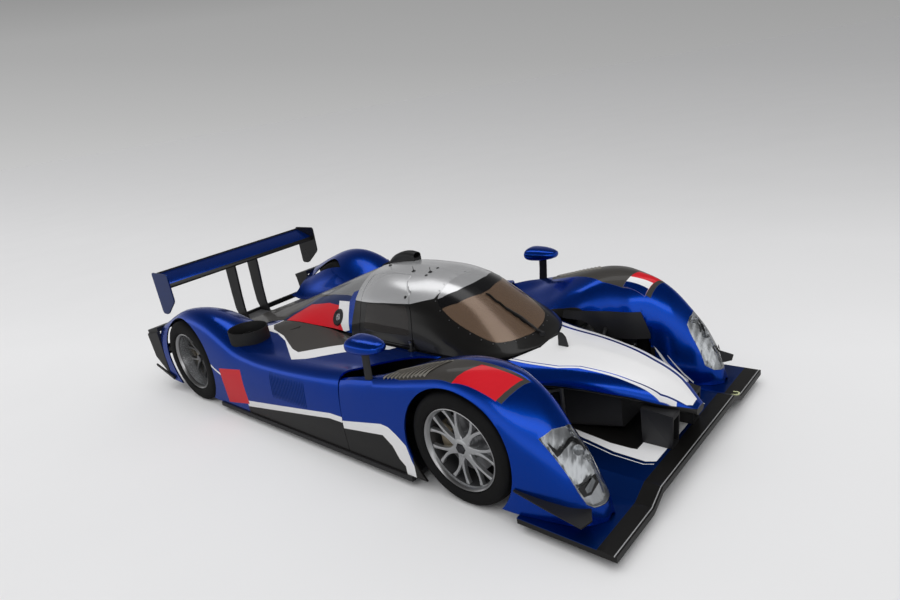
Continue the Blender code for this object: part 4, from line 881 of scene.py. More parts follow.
waist = [(-0.060, 0.824), (-0.007, 0.829), (0.295, 0.856), (0.556, 0.872), (0.660, 0.892), (0.719, 0.900),
         (0.745, 1.100), (1.400, 1.100)]
cabin_paint = painted("cabin_paint", "silver", [("black", "side", waist, None)])
cabin_thick = 0.030
pane_thick = 0.008
cabin_grid = full_grid(CABIN, np.linspace(cabin_back, cabin_front, 84), 5)
turn = Vector(HINGE_LEAN).to_track_quat("Z", "Y")
jamb = loft([[tuple(Vector(hinge_point(along)) + turn @ Vector((*spot, 0))) for spot in circle((0, 0), r, 48)]
             for along, r in JAMB])
doorway = solid("doorway", prism(DOOR_VIEW, DOOR_TOP_Y, 0.60, 1), body=None)
doorway = as_shape(trim(doorway, [jamb], "UNION"))
screen_view = rounded(WINDSCREEN_VIEW, 0.05)
cabin = solid("cabin_skin", shell_of(cabin_grid, cabin_thick), (cabin_paint, bare_carbon),
              sheet=cabin_grid)
trim(cabin, [prism(screen_view, 0.4, 1.3, 2), doorway, mirrored(doorway)])
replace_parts(cabin, "cabin_shell")

# Windscreen and side windows. Moulded sheets with a bronze tint, bonded in flush; the
# screen has a black band near its top edge and the roof's silver above that.
bronze = clear("bronze_screen", (0.36, 0.235, 0.155), rough=0.12, haze=0.05)
tree = bronze.node_tree
surface = tree.nodes["Principled BSDF"]
axes = node(tree, "ShaderNodeSeparateXYZ", {0: node(tree, "ShaderNodeTexCoord").outputs["Object"]}).outputs
across = sum_of(tree, "ABSOLUTE", axes[1])
behind = sum_of(tree, "SUBTRACT", axes[0], 0.5)
band = below_line(tree, across, behind, [(0.0, 0.405), (0.04, 0.403), (0.109, 0.388), (0.234, 0.357),
                                         (0.34, 0.285)])
roof = below_line(tree, across, behind, [(0.0, 0.314), (0.154, 0.299), (0.263, 0.254), (0.313, 0.213),
                                         (0.34, 0.190)])
tint = mix(tree, band, surface.inputs["Base Color"].links[0].from_socket, (0.006, 0.006, 0.007, 1))
feed(tree, surface, {"Base Color": mix(tree, roof, tint, (*PAINTS["silver"][0], 1)),
                     "Transmission Weight": scaled(tree, band, -0.62, 0.62),
                     "Metallic": scaled(tree, roof, 0.45, 0.25), "Coat Weight": 0.6, "Coat Roughness": 0.16})
side_glass = clear("bronze_side_window", (0.030, 0.026, 0.024), rough=0.02, haze=0.05)
feed(side_glass.node_tree, side_glass.node_tree.nodes["Principled BSDF"],
     {"Transmission Weight": 0.35, "Specular IOR Level": 0.35})
screen = solid("screen_sheet", shell_of(cabin_grid, pane_thick), (bronze,))
trim(screen, [prism(grown(screen_view, -seal), 0.4, 1.3, 2)], "INTERSECT")
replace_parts(screen, "windscreen")

# Doors. Each takes a piece of the roof with it and swings up and forward on a hinge
# line that leans in along the front jamb; the side window is bonded into it.
window = rounded(GLASS_VIEW, 0.022)
door = solid("door_skin_left", shell_of(cabin_grid, cabin_thick), (cabin_paint, bare_carbon), body=None,
             sheet=cabin_grid)
trim(door, [prism(grown(LEAF_VIEW, -0.005), DOOR_TOP_Y + 0.005, 0.60, 1)], "INTERSECT")
trim(door, [prism(window, 0.30, 0.60, 1)])
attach(door, "door_left_body")
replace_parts(door, "door_left")
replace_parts(other_side(door, body="door_right_body"), "door_right")
glass = solid("door_window_left", shell_of(cabin_grid, pane_thick), (side_glass,), body=None)
trim(glass, [prism(grown(window, -seal), 0.30, 0.60, 1)], "INTERSECT")
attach(glass, "door_left_body")
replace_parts(glass, "door_glass_left")
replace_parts(other_side(glass, body="door_right_body"), "door_glass_right")
steel = brushed("dark_steel", (0.30, 0.30, 0.31), rough=0.36, scale=90.0)
barrel = tube([hinge_point(0.0), hinge_point(0.03)], 0.009, 24)
lug = box((0.578, 0.420, 0.628), (0.598, 0.458, 0.650))
fittings = [eased(solid(name, shape, (steel,), "door_left_body"), ease)
            for name, shape, ease in (("door_hinge_left", barrel, 0.0010), ("door_lug_left", lug, 0.003))]
for fitting in fittings:
    other_side(fitting, body="door_right_body")


# Side panels. One skin each side from behind the front wheel, over the sidepod and up
# over the rear wheel, with an exhaust chimney, a cooling slot and fine louvres.
SIDE = [
    (-2.06, 0.400, 0.420, 0.475, 0.430, 0.570, 0.500, 0.780, 0.606, 0.935, 0.580, 0.984, 0.420, 0.984, 0.110),
    (-1.95, 0.400, 0.392, 0.475, 0.405, 0.568, 0.530, 0.780, 0.650, 0.938, 0.622, 0.984, 0.440, 0.984, 0.105),
    (-1.80, 0.400, 0.390, 0.480, 0.410, 0.565, 0.580, 0.780, 0.706, 0.940, 0.680, 0.984, 0.460, 0.984, 0.100),
    (-1.60, 0.400, 0.428, 0.485, 0.448, 0.565, 0.640, 0.780, 0.766, 0.940, 0.744, 0.984, 0.480, 0.984, 0.090),
    (-1.40, 0.400, 0.478, 0.485, 0.500, 0.568, 0.668, 0.780, 0.786, 0.940, 0.760, 0.984, 0.480, 0.984, 0.080),
    (-1.18, 0.402, 0.540, 0.485, 0.552, 0.572, 0.636, 0.775, 0.752, 0.937, 0.720, 0.984, 0.450, 0.984, 0.078),
    (-1.00, 0.408, 0.580, 0.490, 0.582, 0.580, 0.612, 0.765, 0.684, 0.935, 0.650, 0.984, 0.410, 0.984, 0.078),
    (-0.85, 0.412, 0.596, 0.500, 0.592, 0.600, 0.590, 0.770, 0.604, 0.935, 0.585, 0.984, 0.380, 0.984, 0.078),
    (-0.60, 0.412, 0.602, 0.500, 0.588, 0.620, 0.574, 0.780, 0.562, 0.940, 0.542, 0.984, 0.350, 0.984, 0.078),
    (-0.30, 0.415, 0.598, 0.500, 0.590, 0.620, 0.576, 0.780, 0.560, 0.940, 0.536, 0.984, 0.350, 0.984, 0.078),
    (0.00, 0.442, 0.584, 0.510, 0.592, 0.625, 0.588, 0.780, 0.574, 0.940, 0.548, 0.984, 0.350, 0.984, 0.078),
    (0.20, 0.300, 0.455, 0.584, 0.280, 0.520, 0.594, 0.255, 0.630, 0.596, 0.225, 0.780, 0.585, 0.205, 0.938,
     0.562, 0.200, 0.984, 0.340, 0.200, 0.984, 0.078),
    (0.42, 0.860, 0.460, 0.584, 0.740, 0.530, 0.600, 0.620, 0.640, 0.604, 0.500, 0.780, 0.600, 0.422, 0.930,
     0.582, 0.420, 0.984, 0.330, 0.420, 0.984, 0.078),
]
deck_black = [(-0.950, 0.500), (-0.838, 0.575), (-0.649, 0.614), (-0.365, 0.736), (-0.264, 0.759),
              (0.041, 0.573), (0.250, 0.460)]
deck_white = [(-0.950, 0.618), (-0.741, 0.607), (-0.560, 0.664), (-0.205, 0.860), (-0.090, 0.818),
              (0.149, 0.668), (0.312, 0.580), (0.450, 0.520)]
sill_upper = [(-0.770, 0.178), (0.304, 0.326)]
sill_lower = [(-0.770, 0.129), (0.292, 0.287)]
side_layers = [
    ("white", "top", deck_white, None, (-0.949, 0.45)),
    ("white", "side", [(-1.240, 0.424), (-1.150, 0.378), (-1.060, 0.346)],
     [(-1.240, 0.404), (-1.150, 0.358), (-1.060, 0.326)], (-1.24, -1.06)),
    ("grey", "top", deck_black, None, (-0.935, 0.45)),
    ("white", "side", sill_upper, None, (-0.765, 0.45)),
    ("black", "side", sill_lower, None, (-0.770, 0.45)),
]
side_paint_left = painted("side_paint_left", "blue", side_layers)
side_paint_right = painted("side_paint_right", "blue", side_layers + [
    ("red", "side", [(-1.079, 0.391), (-0.759, 0.433), (-0.741, 0.154), (-1.065, 0.099)]),
])
side_grid = grid_of(SIDE, np.linspace(-2.06, 0.42, 116), 5)


exhaust_x, exhaust_y = -0.840, 0.785
exhaust_long, exhaust_wide = 0.112, 0.150
exhaust_turn = radians(22)
exhaust_sides = 64


def oval(less):
    """The exhaust's outline in plan, smaller by less all round."""
    ring = []
    for s in range(exhaust_sides):
        along = (exhaust_long - less) * cos(2 * pi * s / exhaust_sides)
        across = (exhaust_wide - less) * sin(2 * pi * s / exhaust_sides)
        ring.append((exhaust_x + along * cos(exhaust_turn) - across * sin(exhaust_turn),
                     exhaust_y + along * sin(exhaust_turn) + across * cos(exhaust_turn)))
    return ring


rear_wheel = (-1.580, 0.355)
rear_arch = 0.381
panel = solid("side_skin_left", shell_of(side_grid, skin_thick), (side_paint_left, bare_carbon),
              sheet=side_grid)
trim(panel, [prism(circle(rear_wheel, rear_arch, 128), 0.598, 1.1, 1),
             box((0.578, 0.44, 0.55), (0.628, 0.490, 0.64)),
             prism(oval(0.0), 0.45, 0.90, 2),
             prism(rounded([(-0.705, 0.560), (-0.640, 0.448), (-0.590, 0.562)], 0.012), 0.585, 0.70, 2)])
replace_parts(panel, "side_panel_left")
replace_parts(other_side(panel, (side_paint_right, bare_carbon)), "side_panel_right")


side_leans = grid_normals(side_grid)


def louvre(x, low, high):
    """One upright louvre: a thin lip that stands out of the flank and faces the rear."""
    count = 12
    i = int(np.argmin(np.abs(side_grid[:, -8, 0] - x)))
    line, normals = side_grid[i], side_leans[i]
    flank = [j for j in range(len(line)) if line[j][1] > 0.90]
    heights = line[flank, 2]
    order = np.argsort(heights)
    at = np.linspace(low, high, count)
    spots, leans = [np.stack([np.interp(at, heights[order], field[flank][order, k]) for k in range(3)], 1)
                    for field in (line, normals)]
    spots[:, 0] = x
    half = np.array([0.003, 0, 0])
    rings = []
    for n, (spot, lean) in enumerate(zip(spots, leans)):
        lift = 0.0034 * min(1.0, 6.0 * min(n, count - 1 - n) / (count - 1)) + 0.0002
        rings.append([tuple(spot - 0.002 * lean + half), tuple(spot + 0.0002 * lean + half),
                      tuple(spot + lift * lean - half), tuple(spot - 0.002 * lean - half)])
    return loft(rings)


# The lips take a darker blue than the flank round them: painted shade that draws the dark lines between them.
louvre_shade_blue = painted("louvre_shade_blue", "deep_blue")
louvres = gathered([louvre(x, 0.295, 0.492) for x in np.arange(-0.35, 0.06, 0.019)])
other_side(solid("flank_louvres_left", louvres, (louvre_shade_blue,)))

# Exhaust chimneys. An oval stack in black composite stands out of each sidepod, with
# its rim cut on a slope and the pipe's dark mouth inside.
soot = carbon_cloth("sooty_carbon", dark=0.008, rough=0.62, weave=0.1)
heights = [(0.520, 0.0, 0.0008), (0.600, 0.0, 0.0008), (0.684, 0.016, 0.0008), (0.688, 0.016, 0.0028),
           (0.688, 0.016, 0.0082), (0.684, 0.016, 0.0100), (0.600, 0.0, 0.0110), (0.530, 0.0, 0.0120)]
chimney = loft([[(x, y, height + tilt * (exhaust_x - x) / exhaust_long) for x, y in oval(less)]
                for height, tilt, less in heights])
stack = solid("exhaust_stack_left", chimney, (soot,))
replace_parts(stack, "exhaust_left")
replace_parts(other_side(stack), "exhaust_right")
bore = lathe([(0.052, 0.10), (0.056, 0.10), (0.056, 0.0), (0.052, 0.0), (0.052, 0.10)], 40,
             (-0.845, 0.790, 0.535))
other_side(solid("exhaust_pipe_left", bore, (steel,)))

# Engine cover. A long black tail from the roof down to the gearbox with a red panel
# each side of it behind the cabin, edged in dark blue and in a darker copy of the roof's silver,
# which is painted shade for the dark reflection along its top.
COVER = [
    (-1.900, 0.00, 0.398, 0.06, 0.397, 0.12, 0.396, 0.18, 0.395, 0.25, 0.394, 0.32, 0.393, 0.394, 0.392),
    (-1.700, 0.00, 0.440, 0.06, 0.438, 0.12, 0.434, 0.18, 0.428, 0.25, 0.421, 0.32, 0.415, 0.394, 0.410),
    (-1.400, 0.00, 0.528, 0.06, 0.526, 0.12, 0.520, 0.18, 0.511, 0.25, 0.500, 0.32, 0.489, 0.394, 0.480),
    (-1.100, 0.00, 0.626, 0.06, 0.623, 0.12, 0.614, 0.18, 0.602, 0.25, 0.588, 0.32, 0.574, 0.398, 0.562),
    (-0.800, 0.00, 0.728, 0.07, 0.723, 0.13, 0.708, 0.20, 0.682, 0.27, 0.652, 0.34, 0.620, 0.406, 0.600),
    (-0.500, 0.00, 0.832, 0.08, 0.824, 0.15, 0.803, 0.23, 0.760, 0.30, 0.706, 0.36, 0.648, 0.406, 0.604),
    (-0.250, 0.00, 0.918, 0.10, 0.908, 0.19, 0.873, 0.27, 0.814, 0.33, 0.742, 0.38, 0.666, 0.409, 0.606),
    (-0.0458, 0.00, 0.984, 0.13, 0.967, 0.24, 0.914, 0.32, 0.839, 0.365, 0.759, 0.405, 0.680, 0.430, 0.606),
]
red_top = [(-0.909, 0.606), (-0.760, 0.681), (-0.447, 0.743), (-0.241, 0.758), (-0.149, 0.790)]
blue_top = [(-0.960, 0.606), (-0.760, 0.712), (-0.447, 0.790), (-0.200, 0.830), (0.000, 0.850)]
cover_paint = painted("cover_paint", "grey", [
    # The top beside the roof takes the darker silver: painted shade for the dark reflection there.
    ("pewter", "side", [(-0.80, 1.20), (0.10, 1.20)],
     [(-0.80, 0.720), (-0.447, 0.790), (-0.200, 0.830), (0.10, 0.850)], (-0.80, 0.10)),
    ("deep_blue", "side", blue_top, None, (-0.96, 0.1)),
    ("red", "side", red_top, None, (-0.905, -0.150)),
    ("white", "side", [(-0.300, 0.780), (-0.134, 0.802), (-0.066, 0.625), (-0.146, 0.600), (-0.235, 0.684)]),
    ("blue", "side", [(-0.134, 0.802), (-0.120, 0.860), (0.0, 0.900), (0.0, 0.580), (-0.066, 0.600)]),
])
cover_grid = full_grid(COVER, np.linspace(-1.90, -0.0458, 76), 4)
tail_cover = solid("engine_cover_skin", shell_of(cover_grid, skin_thick), (cover_paint, bare_carbon),
                   sheet=cover_grid)
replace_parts(tail_cover, "engine_cover")


# Front splitter. A thick composite plate across the whole nose, raised in the middle,
# with a black centre inside a white line and a black wear strip along its front edge.
# The flat floor behind it is bare.
def recoat(name, *coats, bevel=0.0015):
    """Gives a kept CAD node its finish and eases its edges."""
    piece = frame["nodes"][name]
    slots = max(1, len(piece.data.materials))
    piece.data.materials.clear()
    for n in range(slots):
        piece.data.materials.append(coats[min(n, len(coats) - 1)])
    return eased(piece, bevel)


splitter_out = [(1.600, 0.255), (1.715, 0.286), (1.938, 0.338), (2.123, 0.347), (2.171, 0.322)]
splitter_in = [(1.600, 0.220), (1.880, 0.268), (2.000, 0.268), (2.036, 0.262)]
splitter_paint = painted("splitter_paint", "deep_blue", [
    ("white", "top", [(x, y + 0.030) for x, y in splitter_out], [(x, y + 0.024) for x, y in splitter_out],
     (1.60, 2.171)),
    ("white", "top", splitter_out, None, (-3, 2.171)),
    ("black", "top", splitter_in, None, (-3, 2.036)),
    ("black", "top", [(2.190, -0.1), (2.400, -0.1), (2.400, 1.1), (2.190, 1.1)]),
    # A thin silver line near the front edge is a painted highlight along the top of that edge.
    ("silver", "top", [(2.276, -0.1), (2.280, -0.1), (2.280, 1.1), (2.276, 1.1)]),
    ("black", "side", [(1.2, 0.086), (2.4, 0.086)], None),
])
recoat("front_splitter", splitter_paint, bevel=0.004)
worn_carbon = carbon_cloth("worn_carbon", dark=0.016, rough=0.50)
recoat("floor", worn_carbon, bevel=0.003)

# Tail. Black composite: the rear panel with its side cheeks, the diffuser's ramp and
# fences, and the two pylons that stand on the gearbox to hold the wing.
recoat("tail_panel", bare_carbon)
recoat("diffuser", worn_carbon, bevel=0.001)
for side in ("left", "right"):
    recoat(f"wing_pylon_{side}", bare_carbon, bevel=0.002)

# Rear wing. A single cambered plane, blue on top with a black nose and underside,
# between flat end plates; a small turned-up strip runs along its rear edge.
wing_top = [(-2.022, 0.903), (-2.024, 0.912), (-2.034, 0.924), (-2.055, 0.937), (-2.080, 0.948),
            (-2.120, 0.963), (-2.160, 0.976), (-2.210, 0.991), (-2.2615, 1.0050)]
wing_low = [(-2.2635, 0.9985), (-2.220, 0.9775), (-2.180, 0.958), (-2.140, 0.938), (-2.100, 0.920),
            (-2.070, 0.907), (-2.050, 0.900), (-2.034, 0.8965), (-2.025, 0.8985)]
wing_paint = painted("wing_paint", "blue", [
    ("black", "side", [(-2.270, 1.0015), (-2.160, 0.966), (-2.080, 0.932), (-2.030, 0.909), (-2.000, 0.90)],
     None),
    ("black", "side", [(-2.050, 0.80), (-2.050, 1.00), (-1.90, 1.00), (-1.90, 0.80)]),
])
wing = solid("wing_section", prism(wing_top + wing_low, -0.7824, 0.7824, 1), (wing_paint,),
             sharp=50)
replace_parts(wing, "wing_plane")
solid("wing_gurney_strip", prism([(-2.262, 1.0058), (-2.262, 1.0200), (-2.2595, 1.0200), (-2.2595, 1.0050)],
                                 -0.780, 0.780, 1), (bare_carbon,))
plate_view = [(-2.290, 0.640), (-2.290, 1.030), (-1.985, 1.030), (-1.990, 0.780), (-2.190, 0.640)]
plate_paint = painted("end_plate_paint", "deep_blue")
gloss_carbon = carbon_cloth("gloss_carbon", dark=0.010, rough=0.28)
plate = eased(solid("wing_end_left", prism(rounded(plate_view, 0.030), 0.783, 0.795, 1), (gloss_carbon,)))
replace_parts(plate, "wing_endplate_left")
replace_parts(other_side(plate, (plate_paint,)), "wing_endplate_right")

# Tub, engine, gearbox and suspension, mostly hidden: bare composite for the tub and
# the brake ducts, cast alloy and plain steel for the rest.
recoat("monocoque", carbon_cloth("tub_carbon", dark=0.013, rough=0.55), bevel=0.002)
cast = brushed("cast_alloy", (0.34, 0.34, 0.35), rough=0.55, metallic=0.8, scale=60.0)
for name in ("engine", "gearbox"):
    recoat(name, cast, bevel=0.006)
for side in ("left", "right"):
    for name, coat, ease in (("front_arms", steel, 0.001), ("rear_upright", steel, 0.001),
                             ("knuckle", cast, 0.002), ("brake_duct", bare_carbon, 0.004)):
        recoat(f"{name}_{side}", coat, bevel=ease)


# Wheels. Forged alloy rims, each turned on a lathe outside and milled to seven forked
# spokes, grey with a bright lip, held on by one centre nut; the front barrels and the rear
# spokes take darker greys, painted shade.
wheel_grey = brushed("wheel_grey", (0.70, 0.71, 0.72), rough=0.34, metallic=0.90, scale=120.0)
wheel_silver = brushed("wheel_silver", (0.62, 0.63, 0.64), rough=0.26, metallic=0.95, scale=120.0)
bright_lip = brushed("bright_lip", (0.66, 0.66, 0.67), rough=0.30, metallic=1.0, scale=160.0)
# The next two are darker copies of the rims' metal: painted shade for the front barrels and the rear spokes.
shaded_barrel_grey = brushed("shaded_barrel_grey", (0.13, 0.13, 0.135), rough=0.40, metallic=0.85, scale=120.0)
shaded_spoke_grey = brushed("shaded_spoke_grey", (0.24, 0.24, 0.245), rough=0.32, metallic=0.90, scale=120.0)
nut_black = brushed("nut_black", (0.05, 0.05, 0.055), rough=0.35, metallic=0.7, scale=120.0)


def spoke_arm(turn, way, face, reach):
    """One arm of a forked spoke, from the hub out to the rim, as a bar with rounded edges."""
    stops = [(0.052, 0.100, 0.044, -0.002), (0.085, 0.075, 0.028, -0.004), (0.118, 0.078, 0.0215, -0.007),
             (0.152, 0.115, 0.0190, -0.008), (0.192, 0.172, 0.0185, -0.007), (reach, 0.222, 0.028, -0.004)]
    section = [(-0.5, -0.22), (-0.42, -0.06), (-0.28, 0.0), (0.28, 0.0), (0.42, -0.06), (0.5, -0.22),
               (0.44, -1.0), (-0.44, -1.0)]
    deep = 0.026
    radii = np.linspace(stops[0][0], stops[-1][0], 16)
    rings = []
    for r, (lean, width, drop) in zip(radii, through([s[0] for s in stops], [s[1:] for s in stops], radii)):
        a = turn + way * lean
        rings.append([(r * cos(a) - w * width * sin(a), face + drop + d * deep,
                       r * sin(a) + w * width * cos(a))
                      for w, d in section])
    return loft(rings)


def moved(shape, place):
    return [tuple(a + b for a, b in zip(p, place)) for p in shape[0]], shape[1]


def turned(profile, segments):
    """A closed profile turned round the wheel's axle."""
    return lathe(profile + profile[:1], segments, hub_at, "Y")


tyre_rubber, tree, surface, place = material("tyre_rubber")
scuff = noise(tree, place, 14.0, 6.0)
grit = noise(tree, place, 420.0, 2.0)
feed(tree, surface, {"Base Color": cold_grey(tree, scaled(tree, scuff, 0.006, 0.003), 1.05),
                     "Roughness": scaled(tree, scuff, 0.20, 0.55), "Normal": bump(tree, grit, 0.15),
                     "Specular IOR Level": 0.22})
spokes = 7
# The front rims' barrels and the rear rims' spokes take the darker copies, painted shade.
for end, (axle_x, radius), low, high, dish, drop, coats, carrier in (
        ("front", front_wheel, 0.632, 0.968, 0.040, 0.100, (wheel_grey, bright_lip, shaded_barrel_grey), "steer_{}"),
        ("rear", rear_wheel, 0.618, 0.985, 0.110, 0.092, (shaded_spoke_grey, bright_lip, wheel_silver), "chassis")):
    hub_at = (axle_x, 0.0, radius)
    left, right_body = f"wheel_{end}_left", f"wheel_{end}_right"
    face = high - dish
    well = 0.234
    barrel = [(0.2455, low + 0.010), (0.2455, low + 0.018), (well, low + 0.026), (well, high - 0.032),
              (0.2455, high - 0.024), (0.2455, high - 0.014), (0.2420, high - 0.0125), (0.2350, high - 0.018),
              (0.2290, high - 0.030), (well - 0.009, high - 0.040), (well - 0.009, low + 0.022),
              (0.236, low + 0.008)]
    hub = [(0.0286, face - 0.085), (0.062, face - 0.085), (0.064, face - 0.040), (0.060, face - 0.006),
           (0.052, face - 0.002), (0.040, face + 0.004), (0.0286, face + 0.004)]
    arms = [moved(spoke_arm(2 * pi * n / spokes, way, face, 0.2262), hub_at) for n in range(spokes)
            for way in (-1, 1)]
    rim = solid(f"wheel_rim_{end}_left", gathered([turned(barrel, 128), turned(hub, 64), *arms]), coats, left,
                sharp=38)
    for side in rim.data.polygons:
        spot = side.center
        out = (spot.x - axle_x) ** 2 + (spot.z - radius) ** 2
        if spot.y > high - 0.034 and out > 0.228 ** 2:
            side.material_index = 1
        elif spot.y < high - 0.060 and out > 0.2245 ** 2:
            side.material_index = 2
    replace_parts(rim, f"rim_{end}_left")
    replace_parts(other_side(rim, body=right_body), f"rim_{end}_right")
    outline = [(0.2466, low + 0.004), (0.286, low), (radius - 0.035, low + 0.002),
               (radius - 0.008, low + 0.018), (radius, low + 0.060), (radius, high - 0.060),
               (radius - 0.008, high - 0.018), (radius - 0.035, high - 0.002), (0.286, high),
               (0.2466, high - 0.006)]
    tyre = solid(f"tyre_cover_{end}_left", turned(rounded(outline, 0.018, 4), 128), (tyre_rubber,), left,
                 sharp=60)
    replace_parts(tyre, f"tyre_{end}_left")
    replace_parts(other_side(tyre, body=right_body), f"tyre_{end}_right")
    nut = [(0.0, face + 0.018), (0.016, face + 0.018), (0.019, face + 0.014), (0.024, face + 0.014),
           (0.030, face + 0.010), (0.034, face + 0.004), (0.034, face - 0.004)]
    cap = solid(f"wheel_nut_{end}_left", lathe(nut, 6, hub_at, "Y"), (nut_black,), left, sharp=20)
    other_side(eased(cap, 0.002), body=right_body)

    # Brakes. A disc turns with the wheel; a caliper grips its rear edge.
    inner = face - drop
    ring = [(0.092, inner), (0.168, inner), (0.170, inner + 0.002), (0.170, inner + 0.030),
            (0.168, inner + 0.032), (0.092, inner + 0.032)]
    bell = [(0.060, inner + 0.020), (0.095, inner + 0.020), (0.095, inner + 0.026), (0.060, inner + 0.026)]
    disc = solid(f"brake_disc_{end}_left", gathered([turned(ring, 96), turned(bell, 64)]), (steel,), left)
    other_side(disc, body=right_body)
    jaw = [(0.112, -0.020), (0.188, -0.020), (0.194, -0.012), (0.194, 0.042), (0.188, 0.050), (0.112, 0.050),
           (0.112, 0.036), (0.175, 0.036), (0.175, -0.004), (0.112, -0.004)]
    grip = [[(axle_x + r * cos(s), inner + out, radius + r * sin(s)) for r, out in jaw]
            for s in np.linspace(2.62, 3.66, 9)]
    caliper_paint = brushed(f"caliper_{end}", (0.42, 0.36, 0.26), rough=0.4, metallic=0.7)
    caliper = eased(solid(f"brake_caliper_{end}_left", loft(grip), (caliper_paint,), carrier.format("left")), 0.002)
    other_side(caliper, body=carrier.format("right"))


# Seat. A thin composite bucket bolted to the tub floor, with a quilted fabric liner
# and a five-strap harness; it sits left of the middle, under the left of the roof.
seat_line = [(0.440, 0.172), (0.400, 0.150), (0.300, 0.150), (0.180, 0.156), (0.105, 0.190), (0.068, 0.270),
             (0.045, 0.400), (0.026, 0.540), (0.008, 0.680), (-0.002, 0.748)]
seat_y = 0.130


def bucket(lift, half, rise, thick):
    """A bucket along the seat's side line: half wide, its edges raised by rise."""
    spots = through(range(len(seat_line)), seat_line, np.linspace(0, len(seat_line) - 1, 40))
    ways = np.gradient(spots, axis=0)
    ways /= np.linalg.norm(ways, axis=1, keepdims=True)
    out = np.stack([ways[:, 1], -ways[:, 0]], 1)
    grid = []
    for n, (spot, up) in enumerate(zip(spots, out)):
        share = n / (len(spots) - 1)
        narrow = 1.0 - 0.32 * max(0.0, share - 0.72) / 0.28
        line = []
        for w in np.linspace(-1, 1, 21):
            lip = rise * (abs(w) ** 3) * (0.5 + sin(pi * share))
            at = spot + up * (lift + lip)
            line.append((at[0], seat_y + w * half * narrow, at[1]))
        grid.append(line)
    return shell_of(np.array(grid), thick, level=False)


def cloth(name, shade, thread=900.0, rough=0.9):
    """Woven cloth: crossing threads with a little fuzz and colour change."""
    made, tree, surface, place = material(name)
    warp, weft = [node(tree, "ShaderNodeTexWave", {"Vector": place, "Scale": thread / 6.28},
                       bands_direction=way).outputs["Fac"] for way in "YZ"]
    weave = sum_of(tree, "MULTIPLY", warp, weft)
    wear = noise(tree, place, 12.0, 5.0)
    level = scaled(tree, weave, 0.35, scaled(tree, wear, 0.25, 0.65))
    feed(tree, surface, {"Base Color": dimmed(tree, (*shade, 1), level),
                         "Roughness": scaled(tree, wear, 0.1, rough - 0.05), "Normal": bump(tree, weave, 0.3),
                         "Sheen Weight": 0.3})
    return made


seat_shell = solid("seat_bucket", bucket(0.004, 0.166, 0.060, 0.006), (bare_carbon,), sharp=50)
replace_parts(seat_shell, "seat")
liner_cloth = cloth("seat_cloth", (0.055, 0.055, 0.060))
liner = solid("seat_liner", bucket(0.022, 0.148, 0.046, 0.016), (liner_cloth,), sharp=60)
quilt = liner.modifiers.new("round", "SUBSURF")
quilt.levels = quilt.render_levels = 1
webbing = cloth("harness_webbing", (0.40, 0.012, 0.020), thread=1600.0, rough=0.75)


def strap(name, path, across):
    """Flat webbing along a path; across is the way its width lies."""
    across = Vector(across).normalized()
    half_wide, half_thick, stations = 0.024, 0.0012, 24
    path = [Vector(p) for p in path]
    fine = through(range(len(path)), path, np.linspace(0, len(path) - 1, stations))
    rings = []
    for n, spot in enumerate(fine):
        way = Vector(fine[min(n + 1, stations - 1)] - fine[max(n - 1, 0)]).normalized()
        lift = across.cross(way).normalized()
        rings.append([tuple(Vector(spot) + across * (s * half_wide) + lift * (t * half_thick)) for s, t in
                      ((-1, -1), (1, -1), (1, 1), (-1, 1))])
    return eased(solid(name, loft(rings), (webbing,), sharp=50), 0.0006)


for word, y in (("left", 0.185), ("right", 0.075)):
    strap(f"harness_shoulder_{word}", [
        (0.030, y, 0.700), (0.062, y, 0.600), (0.092, y * 0.9 + 0.013, 0.450),
        (0.118, y * 0.75 + 0.033, 0.300), (0.165, seat_y + (y - seat_y) * 0.35, 0.215),
    ], (0, 1, 0))
for word, y in (("left", 0.262), ("right", -0.002)):
    strap(f"harness_lap_{word}", [(0.115, y, 0.225), (0.160, seat_y + (y - seat_y) * 0.75, 0.212),
                                  (0.185, seat_y + (y - seat_y) * 0.25, 0.208)], (1, 0, 0.5))
buckle = solid("harness_buckle", lathe([(0.0, 0.012), (0.014, 0.012), (0.024, 0.008), (0.028, 0.0),
                                        (0.028, -0.006), (0.0, -0.006)], 32), (steel,))
buckle.data.transform(Matrix.Translation((0.178, seat_y, 0.216)) @ Matrix.Rotation(radians(35), 4, "Y"))

# Steering wheel. A flat carbon plate with two moulded hand grips and a small switch
# panel, on the end of its column in front of the seat.
wheel_at = Vector((0.615, seat_y, 0.560))
lean_back = Matrix.Rotation(radians(20), 3, "Y")


def on_wheel(depth, y, z):
    return tuple(wheel_at + lean_back @ Vector((depth, y, z)))


rim_view = rounded([(0.118, -0.045), (0.150, 0.0), (0.118, 0.055), (-0.118, 0.055), (-0.150, 0.0),
                    (-0.118, -0.045)])
grips = [loft([[on_wheel(depth, y * 0.72, z * 0.92) for y, z in rim_view] for depth in (-0.008, 0.006)])]
for way in (-1, 1):
    grips.append(tube([on_wheel(0, way * y, z) for y, z in (
        (0.100, 0.050), (0.126, 0.034), (0.136, 0.004), (0.128, -0.024), (0.100, -0.040))],
        [0.008, 0.0115, 0.0118, 0.0112, 0.008], 16))
column = tube([on_wheel(0.0, 0, 0), on_wheel(0.105, 0, 0)], 0.019, 24)
helm = eased(solid("steering_grip_plate", gathered([*grips, column]), (dark_moulding,)))
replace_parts(helm, "steering_wheel")
display_view = rounded([(0.038, -0.004), (0.038, 0.036), (-0.038, 0.036), (-0.038, -0.004)], 0.006)
solid("steering_display", loft([[on_wheel(depth, y, z) for y, z in display_view]
                                for depth in (-0.0115, -0.0079)]),
      (clear("display_glass", (0.02, 0.025, 0.03), rough=0.05),))
facing = (lean_back @ Matrix.Rotation(radians(-90), 3, "Y")).to_4x4()
